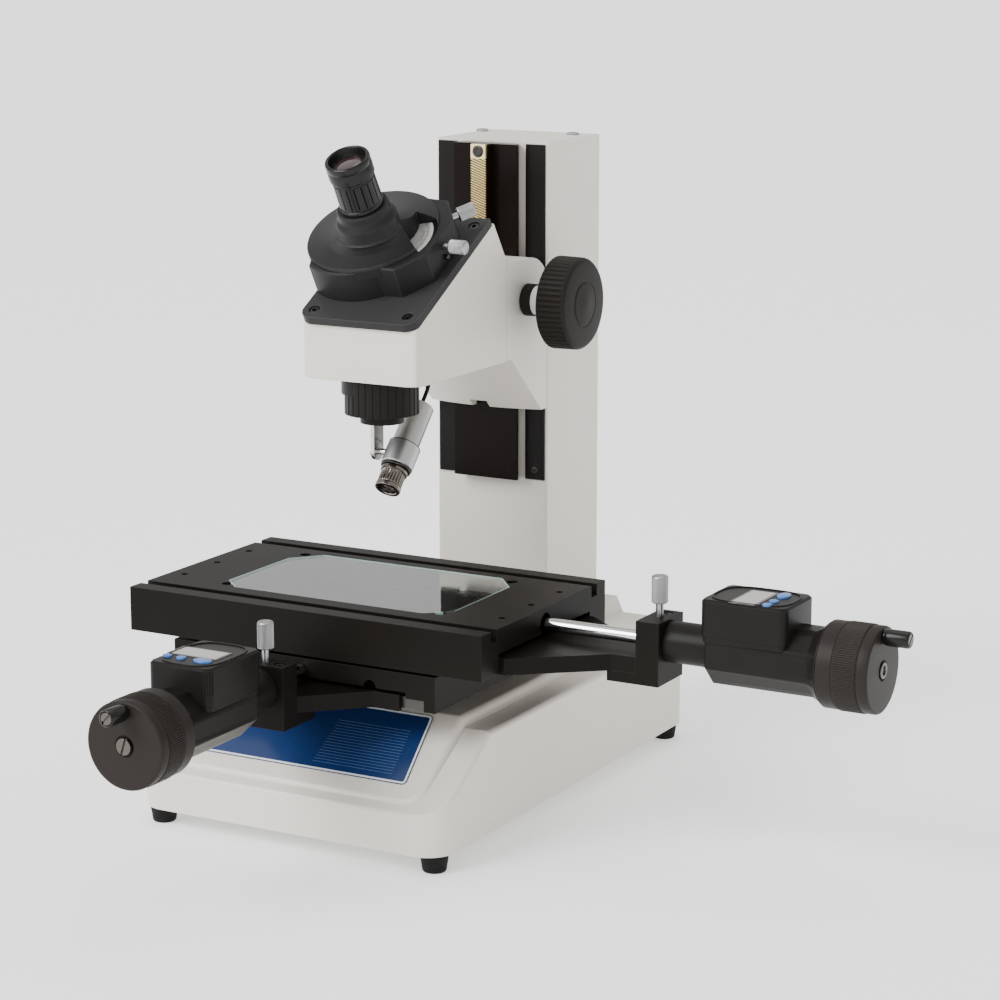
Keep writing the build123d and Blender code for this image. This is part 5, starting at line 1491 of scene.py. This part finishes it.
    def _screws(self) -> None:
        """Make the centre screw and the screw that the crank knob turns on."""
        mesh = bmesh.new()
        end = self.thimble_end
        if self.side is Side.FRONT:
            centre = self.stand.moved(0, 0, end - 0.9)
            slotted_head(
                mesh, Stand(centre.origin, (0.3, 0, 0.95), centre.axis), radius=4.7, height=2.2,
                slot=1.0, depth=1.1)
        else:
            turn_into(mesh, self.stand, rings(
                (0, end - 0.9), (4.7, end - 0.9), (4.7, end + 0.4), (4.3, end + 0.8),
                (2.9, end + 0.8), (2.7, end + 0.5), (2.6, end - 0.5), (1.5, end - 0.6),
                (1.4, end - 0.2), (0, end)), Turning(48))
        crank = self.stand.moved(0, self.crank_w, end + self.crank_length - 2.0)
        leaning = Vector(self.stand.across) + Vector((0.0, 0.0, 1.0))
        crank = Stand(crank.origin, tuple(leaning), crank.axis)
        slotted_head(mesh, crank, radius=3.5, height=1.95, slot=0.9, depth=1.0)
        outline = rings((0, 0), (2.0, 0), (2.0, self.crank_length - 1.6), (0, 13.9))
        turn_into(mesh, self.stand.moved(0, self.crank_w, end - 0.5), outline, Turning(32))
        self._fit(into_object(self._named("wheel_screws"), mesh), Finishes.SCREW_DARK, "thimble",
                  "thimble_screws")

    def _crank(self) -> None:
        """Turn the small crank knob."""
        length, r = self.crank_length, self.crank_radius
        outline = rings(
            (2.15, 0.3), (r - 0.9, 0.3), (r - 0.5, 0.8), (r - 0.5, 1.6), (r - 0.1, 2.2), (r, 4.0),
            (r, length - 1.2), (r - 0.25, length - 0.45), (r - 0.8, length), (3.85, length),
            (3.8, length - 0.2), (3.8, length - 2.3), (2.15, length - 2.3))
        stand = self.stand.moved(0, self.crank_w, self.thimble_end)
        self._fit(turned(self._named("crank_grip"), stand, outline, Turning(closed=True)),
                  Finishes.EYE_BLACK, "crank_knob", "crank_knob")

    def _display(self) -> None:
        """Lay the oval bezel, the dark window and the display."""
        mid = (self.display_start + self.display_end) / 2
        stand = self._up(0, 0, self.display_top)
        half_u = (self.display_end - self.display_start) / 2 - 1.9
        half_v = self.display_half - 1.7
        outer = oval(half_v, half_u, 3.2, (0.0, -mid))
        inner = oval(half_v - 1.2, half_u - 1.2, 3.2, (0.0, -mid))
        self._with_pockets(slab(self._named("bezel"), stand, outer, -0.2, 0.6, 0.25, inner))
        frame = round_box(self.lcd_half_v + 1.4, self.lcd_half_u + 1.5, 1.0,
                          (self.lcd_v, -self.lcd_u))
        window = slab(self._named("window_frame"), stand, frame, -0.1, 0.3, 0.15)
        self._fit(window, Finishes.GLOSS_BLACK)
        panel = round_box(self.lcd_half_v, self.lcd_half_u, 0.4, (self.lcd_v, -self.lcd_u))
        glass = slab(self._named("display"), stand, panel, 0.2, 0.4, 0.05)
        self._fit(glass, Finishes.DISPLAY, "", "lcd")
        if self.side is Side.FRONT:
            self._ribs(stand)

    def _ribs(self, stand: Stand) -> None:
        """Raise the small grip ribs at the display box's corner.

        Args:
            stand: the middle of the display box's top.
        """
        mesh = bmesh.new()
        centre_u = self.display_end - self.display_corner
        centre_v = self.display_half - self.display_corner
        radius = self.display_corner + 0.05
        for index in range(self.grip_ribs):
            angle = math.radians(12 + index * 16)
            place = (centre_v + radius * math.cos(angle), -centre_u - radius * math.sin(angle))
            slab_into(mesh, stand, oval(0.4, 0.4, 2.0, place, 10), self.grip_low, self.grip_top,
                      0.15)
        self._fit(into_object(self._named("corner_ribs"), mesh), Finishes.PLASTIC)

    def _buttons(self) -> None:
        """Dome the three push buttons."""
        for name, v, radius, flat in self._keys():
            name = "button_" + name
            stand = self._up(self.key_u, v, self.display_top)
            key = turned(self._named(name + "_cap"), stand, rings(
                (0, -2.9), (radius, -2.9), (radius, 0.5), (radius - 0.12, 0.85),
                (radius - 0.5, 1.1), (radius * 0.6, 1.25), (radius * 0.3, 1.29), (0, 1.3)),
                         Turning(around=48, flat=flat))
            self._fit(key, Finishes.BUTTON, name, name)

    def _clamp(self) -> None:
        """Make the knurled clamp screw and the block's own socket screw."""
        u = self.block_length / 2
        outline = knurled(self.clamp_length, self.clamp_radius, groove=0.3, neck=2.2,
                          neck_length=11.9)
        screw = turned(self._named("clamp_thumb"), self._up(u, 0, self.clamp_w), outline,
                       Turning(around=240, ribs=40, land=0.4))
        self._fit(screw, Finishes.KNURL, "clamp_screw", "clamp_screw")
        mesh = bmesh.new()
        stand = self._up(u, self.block_screw_v, self.block_top - 3.0)
        socket_head(mesh, stand, radius=3.2, height=2.5, key=1.6, depth=1.5)
        self._fit(into_object(self._named("block_screw"), mesh), Finishes.SCREW_BLACK)


# Microscope head


@dataclass
class Carriage:
    """The carriage: its bowed slope below, its rounded top, its slideways and its bores."""

    shop: Workshop
    half: float = 39.7
    slices: int = 8
    front: float = 86.0
    rear: float = 138.2
    low: float = 225.0
    shelf: float = 262.2
    top: float = 322.5
    crown: Point = (116.0, 297.6)
    crown_radius: float = 24.9
    foot: float = 124.6
    foot_bow: float = 6.4
    foot_power: float = 2.2
    slope_run: float = 38.5
    way: tuple[Point, ...] = ((6.2, 120.3), (6.2, 129.6), (23.4, 129.6), (23.4, 137.3),
                              (38.4, 137.3), (38.4, 145.0))
    pinion_room: float = 14.5
    pinion_half: float = 9.0
    shaft_bore: float = 5.6
    shaft_half: float = 60.0

    def build(self) -> None:
        """Build the carriage and cut it out."""
        crown = arc(self.crown, self.crown_radius, 90.0, 27.0, 8)
        mesh = bmesh.new()
        loops = []
        for step in range(2 * self.slices + 1):
            x = self.half * (step - self.slices) / self.slices
            foot = self.foot + self.foot_bow * abs(x / self.half) ** self.foot_power
            profile = [(self.front, self.top)] + crown + [
                (self.rear, self.low), (foot, self.low), (foot - self.slope_run, self.shelf),
                (self.front, self.shelf)]
            loops.append([mesh.verts.new(Vector((x, y, z)) * MM) for y, z in profile])
        loft(mesh, loops)
        block = into_object("focus_carriage", mesh, 20.0)
        across = Stand((0, SHAFT_Y, SHAFT_Z), (0, 1, 0), (1, 0, 0))
        cutters = [slab("slideway", UPRIGHT, both_halves(self.way), 200.0, 340.0),
                   turned("pinion_room", across,
                          rod(self.pinion_room, -self.pinion_half, self.pinion_half)),
                   turned("shaft_bore", across,
                          rod(self.shaft_bore, -self.shaft_half, self.shaft_half), Turning(48))]
        self.shop.fit(carved(block, cutters), "head", Finishes.WHITE, ["carriage"])
        put_away(cutters)


@dataclass
class MicroscopeHead:
    """The tilted head with its drum, dial, eyepiece, objective and carriage."""

    shop: Workshop
    tilt: float = 30.0
    reach: float = 169.0
    nose: Point = (39.55, -21.45)
    nose_inner: Point = (28.0, -8.0)
    nose_mid: Point = (36.05, -17.9)
    nose_radius: float = 3.5
    nose_low: float = 262.4
    cover_under: float = 266.4
    cover_top: float = 272.0
    cover_screws: tuple[Point, ...] = ((32, -34), (-32, -34), (32, 56), (-32, 56))
    drum_x: float = -2.0
    drum_t: float = 12.0
    disc_x: float = -11.5
    disc_t: float = 16.8
    disc_radius: float = 40.7
    disc_low: float = 286.8
    disc_top: float = 294.0
    block_top: float = 292.4
    dial_radius: float = 30.4
    dial_low: float = 289.6
    dial_depth: float = 291.6
    window_from: float = 28.2
    window_to: float = 33.5
    vernier_from: float = 19.2
    vernier_to: float = 25.9
    line_half: float = 0.1
    screw_bore: float = 2.4
    feed_angle: float = 45.8
    feed_reach: float = 46.7
    feed_depth: float = 287.0
    lock_place: Triple = (38.4, 18.0, 284.6)
    pin_place: Triple = (33.4, 17.0, 277.6)
    thumb_radius: float = 4.3
    ink_radius: float = 26.1
    eye_low: float = 325.4
    eye_top: float = 358.0
    optic_y: float = 4.0

    def build(self) -> None:
        """Build and dress the head."""
        self.shop.dress(Finishes.WHITE, "head_casting")
        Carriage(self.shop).build()
        self._nose_corners()
        self.shop.dress(Finishes.SATIN_BLACK, "cover_plate")
        self.shop.dress(Finishes.PLASTIC, "objective_mount")
        self._drum()
        self._cover_screws()
        self._graduations()
        self._thumb_screws()
        self._eyepiece()
        self._objective_glass()

    def _slope(self) -> Point:
        """Return the cosine and the sine of the head's tilt."""
        return math.cos(math.radians(self.tilt)), math.sin(math.radians(self.tilt))

    def _tilted(self, x: float, t: float, depth: float) -> Stand:
        """Return a stand on the head's tilted axis.

        Args:
            x: its place across.
            t: its place along the tilted cover.
            depth: its height over the frame's origin, square to the cover.

        Returns:
            The stand, whose x, y and z run across, up the cover and out of it.
        """
        c, s = self._slope()
        origin = (x, c * (self.reach + t) - s * depth, s * (self.reach + t) + c * depth)
        return Stand(origin, (1.0, 0.0, 0.0), (0.0, -s, c))

    def _nose_corners(self) -> None:
        """Fill the nose's two front corners out to their small radius."""
        corners = []
        for sign in (1.0, -1.0):
            outline = [(sign * x, y) for x, y in (
                self.nose_inner, (self.nose_inner[0], self.nose[1]),
                *arc(self.nose_mid, self.nose_radius, -90.0, 0.0, 5),
                (self.nose[0], self.nose_inner[1]))]
            corners.append(slab("nose_corner", UPRIGHT, outline, self.nose_low, 340.0))
        above = slab("above_cover", self._tilted(0, 0, 0),
                     [(-60, -90), (60, -90), (60, 60), (-60, 60)], self.cover_under, 380.0)
        for corner in corners:
            self.shop.fit(carved(corner, [above]), "head", Finishes.WHITE)
        put_away([above])

    def _drum_cutters(self) -> list[Piece]:
        """Return the cutters of the dial's room, its window and the screws' bores."""
        centre = self._tilted(self.drum_x, self.drum_t, 0)
        room = turned("dial_room", centre, rod(self.dial_radius + 0.3, self.dial_low - 0.3,
                                               self.dial_depth + 0.2), Turning(96))
        inner = arc((self.disc_x, self.disc_t), self.window_from, 24.3, -22.8)
        outer = arc((self.drum_x, self.drum_t), self.window_to, -19.5, 36.5)
        window = slab("dial_window", self._tilted(0, 0, 0), inner + outer, self.dial_depth + 0.05,
                      312.0)
        feed = turned("feed_bore", self._feed_stand(), rod(self.screw_bore, -11.0, 4.0),
                      Turning(32))
        lock = turned("lock_bore", self._lock_stand(), rod(self.screw_bore, -14.5, 4.0),
                      Turning(32))
        return [room, window, feed, lock]

    def _drum(self) -> None:
        """Build the drum: a low block, a disc with a skewed cone, and the dial inside."""
        stand = self._tilted(0, 0, 0)
        outline = ([(-28.0, 53.0), (-40.7, 44.0), (-40.7, -8.0)]
                   + arc((-16.05, 14.7), 39.9, -122.5, -53.0)
                   + [(20.0, -17.2), (33.5, -0.5), (33.5, 35.7), (22.0, 52.5), (10.5, 53.4),
                      (-11.5, 56.0)])
        block = slab("drum_block", stand, outline, self.cover_top, self.block_top, 0.7)
        r, low, top = self.disc_radius, self.disc_low, self.disc_top
        disc = [(r - 0.8, low), (r, low + 0.8), (r, top - 1.0), (r - 0.4, top - 0.3),
                (r - 1.3, top)]
        middle = (0, 0, self.disc_x, self.disc_t)
        outline = [Ring(0, low, *middle)] + [Ring(*spot, *middle) for spot in disc] + rings(
            (33.2, 297.8, 0, 0, -8.2, 12.4), (27.0, 301.5, 0, 0, -5.0, 8.0),
            (22.6, 305.4, 0, 0, -2.4, 3.9), (19.4, 308.4), (18.7, 308.9), (18.5, 309.6),
            (18.4, 316.4), (18.0, 317.4), (16.2, 319.6), (15.9, 320.4), (15.6, 324.2),
            (15.1, 325.0), (10.1, 325.0), (10.1, 309.2), (0, 309.2))
        cone = turned("drum_cone", stand, outline, Turning(128))
        cutters = self._drum_cutters()
        self.shop.fit(carved(block, cutters), "head", Finishes.DRUM_BLACK, ["drum_housing"])
        self.shop.fit(carved(cone, cutters, 14.0), "head", Finishes.DRUM_BLACK)
        put_away(cutters)
        r, low, top = self.dial_radius, self.dial_low, self.dial_depth
        dial = turned("dial_disc", self._tilted(self.drum_x, self.drum_t, 0), rings(
            (0, low), (r - 0.2, low), (r, low + 0.2), (r, top - 0.2), (r - 0.2, top),
            (0, top)), Turning(96))
        self.shop.fit(dial, "angle_dial", Finishes.DIAL, ["angle_dial"])
        outline = (arc((0, 0), self.vernier_to, -22.0, 40.0)
                   + arc((0, 0), self.vernier_from, 40.0, -22.0))
        vernier = slab("vernier_plate", self._tilted(self.drum_x, self.drum_t, top), outline, 0.05,
                       0.15)
        self.shop.fit(vernier, "head", Finishes.VERNIER)

    def _cover_screws(self) -> None:
        """Sink the four socket screws into the cover."""
        mesh = bmesh.new()
        for x, t in self.cover_screws:
            socket_head(
                mesh, self._tilted(x, t, self.cover_top - 2.6), radius=3.0, height=2.1, key=1.55,
                depth=1.5)
        self.shop.fit(into_object("cover_socket_screws", mesh), "head", Finishes.SCREW_BLACK,
                      ["cover_screws"])

    def _graduations(self) -> None:
        """Engrave the dial's degree lines and the lines of its fixed plate."""
        mesh = bmesh.new()
        stand = self._tilted(self.drum_x, self.drum_t, self.dial_depth)
        for degree in range(360):
            length = 4.0 if degree % 10 == 0 else 3.0 if degree % 5 == 0 else 2.0
            self._line(mesh, stand, degree, self.ink_radius, self.ink_radius + length, -0.01, 0.02)
        self.shop.fit(into_object("degree_lines", mesh), "angle_dial", Finishes.INK)
        mesh = bmesh.new()
        for step in range(13):
            length = 3.4 if step % 6 == 0 else 2.0
            self._line(mesh, stand, 2.0 + step * 1.9, 25.7 - length, 25.7, 0.14, 0.17)
        self.shop.fit(into_object("vernier_lines", mesh), "head", Finishes.INK)

    def _line(self, mesh: Mesh, stand: Stand, degree: float, near: float,
              far: float, low: float, high: float) -> None:
        """Add one engraved line, radial to a stand.

        Args:
            mesh: the mesh that takes it.
            stand: the middle of its dial.
            degree: its direction.
            near: the radius where it starts.
            far: the radius where it ends.
            low: the height of its underside.
            high: the height of its top.
        """
        angle = math.radians(degree)
        c, s = math.cos(angle), math.sin(angle)
        outline = [(reach * c + side * s, reach * s - side * c) for reach, side in (
            (far, self.line_half), (far, -self.line_half),
            (near, -self.line_half), (near, self.line_half))]
        slab_into(mesh, stand, outline, low, high)

    def _feed_stand(self) -> Stand:
        """Return the stand of the feed screw, at its head's underside."""
        c, s = self._slope()
        ca = math.cos(math.radians(self.feed_angle))
        sa = math.sin(math.radians(self.feed_angle))
        out = (ca, sa * c, sa * s)
        base = self._tilted(self.drum_x, self.drum_t, self.feed_depth)
        spot = Vector(base.origin) + Vector(out) * self.feed_reach
        return Stand((spot.x, spot.y, spot.z), (0.0, -s, c), out)

    def _lock_stand(self) -> Stand:
        """Return the stand of the dial's clamp screw, at its head's underside."""
        return Stand(self._tilted(*self.lock_place).origin, (0.0, *self._slope()), (1, 0, 0))

    def _thumb_screws(self) -> None:
        """Turn the dial's feed screw and its clamp screw, and set the pin below."""
        for name, node, stand, length, neck in (
                ("dial_feed_thumb", "feed_screw", self._feed_stand(), 11.0, 9.5),
                ("dial_clamp_thumb", "dial_clamp_screw", self._lock_stand(), 10.9, 13.2)):
            outline = knurled(length, self.thumb_radius, groove=0.25, neck=2.0, neck_length=neck)
            screw = turned(name, stand, outline, Turning(around=216, ribs=36, land=0.4))
            self.shop.fit(screw, node, Finishes.KNURL, [node])
        stand = Stand(self._tilted(*self.pin_place).origin, (0.0, 0.0, 1.0), (1.0, 0.0, 0.0))
        pin = turned("stop_pin", stand, rings(
            (0, 0), (1.7, 0), (1.7, 2.0), (1.3, 2.5), (0, 2.5)), Turning(24))
        self.shop.fit(pin, "head", Finishes.SCREW_BLACK)

    def _eyepiece(self) -> None:
        """Turn the eyepiece with its fluted grip, its rim and its lens."""
        stand = self._tilted(0, 0, 0)
        low, top = self.eye_low, self.eye_top
        outline = rings(
            (9.0, low - 15.8), (9.9, low - 15.8), (9.9, low), (12.6, low), (13.2, low + 0.4),
            (13.2, low + 2.2), (12.5, low + 2.6), (12.5, low + 3.4), (12.9, low + 3.7, 0.2),
            (12.9, low + 4.6, 0.9), (12.7, low + 17.0, 0.9), (12.7, low + 18.4, 0.2),
            (12.3, low + 18.9), (12.3, low + 20.0), (12.9, low + 20.5), (13.5, low + 21.2),
            (13.5, low + 27.5), (13.3, low + 27.9), (13.5, low + 28.3), (13.5, top - 1.4),
            (13.2, top - 0.5), (12.6, top - 0.05), (11.9, top), (11.3, top - 0.35),
            (10.4, top - 3.0), (9.6, top - 5.2), (9.0, top - 6.4))
        body = turned("eyepiece_tube", stand, outline,
                      Turning(around=360, ribs=18, land=0.8, closed=True))
        self.shop.fit(body, "eyepiece", Finishes.EYE_BLACK, ["eyepiece_body"])
        outline = rings(
            (0, top - 8.2), (9.2, top - 8.2), (9.2, top - 5.4), (8.4, top - 4.75), (6.8, top - 4.2),
            (4.6, top - 3.75), (2.2, top - 3.5), (0, top - 3.42))
        lens = turned("eye_lens", stand, outline)
        self.shop.fit(lens, "eyepiece", Finishes.EYE_LENS, ["eyepiece_lens"])

    def _objective_glass(self) -> None:
        """Set the front lens into the objective's recess."""
        outline = rings(
            (0, 237.3), (10.4, 237.3), (10.4, 236.6), (9.6, 236.2), (7.0, 235.5), (3.6, 235.1),
            (0, 235.0))
        glass = turned("objective_front_lens", Stand((0, self.optic_y, 0)), outline)
        self.shop.fit(glass, "head", Finishes.BLUE_LENS)


@dataclass
class SideLamp:
    """The leaning lamp on its bar, with its mouth ring and lead."""

    shop: Workshop
    mouth: Triple = (0.0, 9.0, 192.0)
    lean: float = 42.2
    seam: float = 32.0
    top: float = 60.5

    def build(self) -> None:
        """Build and dress the lamp."""
        self.shop.dress(Finishes.STEEL, "lamp_bar")
        self.shop.dress(Finishes.PLASTIC, "lamp_lead")
        lean = math.radians(self.lean)
        stand = Stand(self.mouth, (1.0, 0.0, 0.0), (0.0, math.sin(lean), math.cos(lean)))
        outline = rings(
            (5.0, 4.0), (5.4, 0.6), (5.9, 0.0), (7.6, 0.0), (8.0, 0.4), (8.0, 2.6), (7.6, 3.0),
            (7.3, 3.3), (7.6, 3.7, 0.3), (7.6, 4.1, 0.55), (7.6, 10.8, 0.55), (7.6, 11.2, 0.3),
            (7.3, 11.5), (7.5, 11.8), (8.3, 12.0), (8.3, 13.8), (8.0, 14.2), (5.1, 14.2),
            (5.1, 6.7))
        nut = turned("lamp_mouth_ring", stand, outline,
                     Turning(around=144, ribs=24, land=0.45, closed=True))
        self.shop.fit(nut, "lamp_nut", Finishes.CHROME, ["lamp_nut"])
        glass = turned("lamp_window", stand, rings(
            (0, 2.6), (3.0, 2.7), (5.0, 3.2), (5.0, 4.4), (0, 4.4)), Turning(48))
        self.shop.fit(glass, "lamp_nut", Finishes.BLUE_LENS)
        seam, top = self.seam, self.top
        outline = rings(
            (0, 16.0), (9.4, 16.0), (10.0, 16.6), (10.0, seam - 1.0), (9.7, seam - 0.6),
            (8.6, seam - 0.5), (8.3, seam + 0.3), (8.3, top - 0.6), (7.7, top), (0, top))
        self.shop.fit(turned("lamp_barrel", stand, outline), "lamp", Finishes.LAMP,
                      ["lamp_tube"])
        mesh = bmesh.new()
        turn_into(mesh, stand, rings(
            (0, 14.35), (9.0, 14.35), (9.4, 14.8), (9.4, 15.7), (9.2, 16.05), (0, 16.05)))
        turn_into(mesh, stand, rings(
            (8.35, seam - 0.5), (10.04, seam - 1.1), (10.04, seam - 0.6), (8.4, seam + 0.05)),
                  Turning(closed=True))
        self.shop.fit(into_object("lamp_seam_rings", mesh), "lamp", Finishes.SCREW_BLACK)


@dataclass
class FocusDrive:
    """The two focus knobs with their collars and rings."""

    shop: Workshop
    inner: float = 60.6
    outer: float = 80.0
    face: float = 82.0
    radius: float = 28.5
    collar_from: float = 39.9
    collar_to: float = 47.0

    def build(self) -> None:
        """Build and dress the drive."""
        self.shop.dress(Finishes.STEEL, "focus_shaft")
        self.shop.dress(Finishes.WHITE_RING, "focus_rings")
        r, low, top = self.radius, self.inner, self.outer
        knob = rings(
            (5.2, low + 1.2), (9.5, low + 1.2), (10.0, low + 0.4), (r - 2.6, low),
            (r - 1.2, low + 0.2), (r, low + 1.2, 0.5), (r, low + 2.0, 1.1),
            (r - 0.25, top - 3.4, 1.1), (r - 0.5, top - 2.3, 0.7), (r - 0.9, top - 1.6),
            (r - 2.2, top - 0.3), (r - 3.4, top), (14.4, top + 0.4), (13.9, top + 0.1),
            (13.4, top + 0.2), (13.1, top + 0.5), (12.4, top + 0.7), (11.0, top + 0.75),
            (5.0, self.face - 0.5), (0, self.face))
        start, end = self.collar_from, self.collar_to
        collar = rings(
            (5.2, start), (9.3, start), (10.0, start + 0.6, 0.3), (10.0, end - 0.8, 0.3),
            (9.6, end - 0.1), (5.2, end - 0.1))
        mesh = bmesh.new()
        for sign in (1.0, -1.0):
            stand = Stand((0, SHAFT_Y, SHAFT_Z), (0, 1, 0), (sign, 0, 0))
            turn_into(mesh, stand, knob, Turning(around=468, ribs=52))
            turn_into(mesh, stand, collar, Turning(around=144, ribs=36, closed=True))
        self.shop.fit(into_object("focus_hand_knobs", mesh), "focus", Finishes.KNOB,
                      ["focus_knobs"])


# Floor, light and camera


@dataclass
class Studio:
    """A plain pale floor, soft light and the camera."""

    azimuth: float = 28.9774
    elevation: float = 12.1684
    eye: Triple = (0.88118, -1.44201, 0.55155)
    lens: float = 103.86
    sensor: float = 36.0
    floor_half: float = 14.0
    floor_glow: float = 0.55
    room_colour: Colour = (1.0, 0.995, 0.985, 1.0)
    room_strength: float = 0.98

    def build(self) -> None:
        """Set up the studio."""
        self._floor()
        self._lights()
        self._camera()
        LOG.info("studio ready")

    def _floor(self) -> None:
        """Lay the floor."""
        mesh = bmesh.new()
        bmesh.ops.create_grid(mesh, x_segments=8, y_segments=8, size=self.floor_half)
        floor = into_object("floor", mesh)
        sheet = NodeSheet("pale_floor")
        cloud = sheet.noise(400.0, 2.0)
        material = sheet.surface({
            "Base Color": sheet.mix(cloud, grey(0.93), grey(0.91)),
            "Roughness": 0.7 + cloud * 0.1,
            "Emission Color": grey(1.0),
            "Emission Strength": self.floor_glow,
        })
        floor.data.materials.append(material)

    def _lights(self) -> None:
        """Hang the lights and light the room."""
        self._far_light("window_light", (-1.1, -1.9, 1.7), 3.2, 36.0)
        self._soft_box("front_box", (-0.9, -1.5, 0.9), (0, 0, 0.2), 0.7, 5.0)
        self._soft_box("top_box", (0.1, 0.3, 1.6), (0, 0.02, 0.2), 0.9, 4.0)
        world = bpy.data.worlds.new("room")
        world.use_nodes = True
        background = world.node_tree.nodes["Background"]
        background.inputs["Color"].default_value = self.room_colour
        background.inputs["Strength"].default_value = self.room_strength
        bpy.context.scene.world = world

    def _hang(self, light: bpy.types.Light, place: Triple,
              aim: Triple) -> None:
        """Hang a light so that it faces a point.

        Args:
            light: the light.
            place: where it hangs, in metres.
            aim: the point that it faces.
        """
        lamp = bpy.data.objects.new(light.name, light)
        lamp.location = place
        lamp.rotation_euler = (Vector(aim) - Vector(place)).to_track_quat("-Z", "Y").to_euler()
        bpy.context.scene.collection.objects.link(lamp)

    def _far_light(self, name: str, place: Triple, power: float,
                   width: float) -> None:
        """Add the broad far light.

        Args:
            name: its name.
            place: the direction that it comes from.
            power: its strength.
            width: how wide it is in the sky, in degrees.
        """
        light = bpy.data.lights.new(name, "SUN")
        light.energy = power
        light.angle = math.radians(width)
        light.color = (0.97, 0.985, 1.0)
        self._hang(light, place, (0.0, 0.0, 0.0))

    def _soft_box(self, name: str, place: Triple,
                  aim: Triple, size: float, power: float) -> None:
        """Hang one square area light.

        Args:
            name: its name.
            place: where it hangs, in metres.
            aim: the point that it faces.
            size: the length of its sides.
            power: its power in watts.
        """
        light = bpy.data.lights.new(name, "AREA")
        light.shape = "SQUARE"
        light.size = size
        light.energy = power
        self._hang(light, place, aim)

    def _camera(self) -> None:
        """Set the camera where the photograph was taken from."""
        az, el = math.radians(self.azimuth), math.radians(self.elevation)
        back = Vector((math.sin(az) * math.cos(el), -math.cos(az) * math.cos(el), math.sin(el)))
        right = Vector((math.cos(az), math.sin(az), 0.0))
        up = back.cross(right)
        data = bpy.data.cameras.new("camera")
        data.lens = self.lens
        data.sensor_width = self.sensor
        data.sensor_height = self.sensor
        data.clip_start = 0.05
        data.clip_end = 50.0
        camera = bpy.data.objects.new("camera", data)
        turn = Matrix((right, up, back)).transposed().to_4x4()
        turn.translation = Vector(self.eye)
        camera.matrix_world = turn
        bpy.context.scene.collection.objects.link(camera)
        bpy.context.scene.camera = camera


def main() -> None:
    """Build and dress the instrument, then the studio round it."""
    logging.basicConfig(level=logging.INFO, format="%(name)s: %(message)s")
    shop = Workshop()
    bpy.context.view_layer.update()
    Studio().build()
    BaseCasting(shop).build()
    Column(shop).build()
    Stage(shop).build()
    MicrometerHead(shop, Side.RIGHT, Stand((186.0, -13.0, 129.1), (0, 1, 0), (1, 0, 0)),
                   "saddle").build()
    MicrometerHead(shop, Side.FRONT, Stand((0.0, -117.5, 103.4), (1, 0, 0), (0, -1, 0)),
                   "base").build()
    MicroscopeHead(shop).build()
    SideLamp(shop).build()
    FocusDrive(shop).build()
    bpy.context.view_layer.update()


if __name__ == "__main__":
    main()
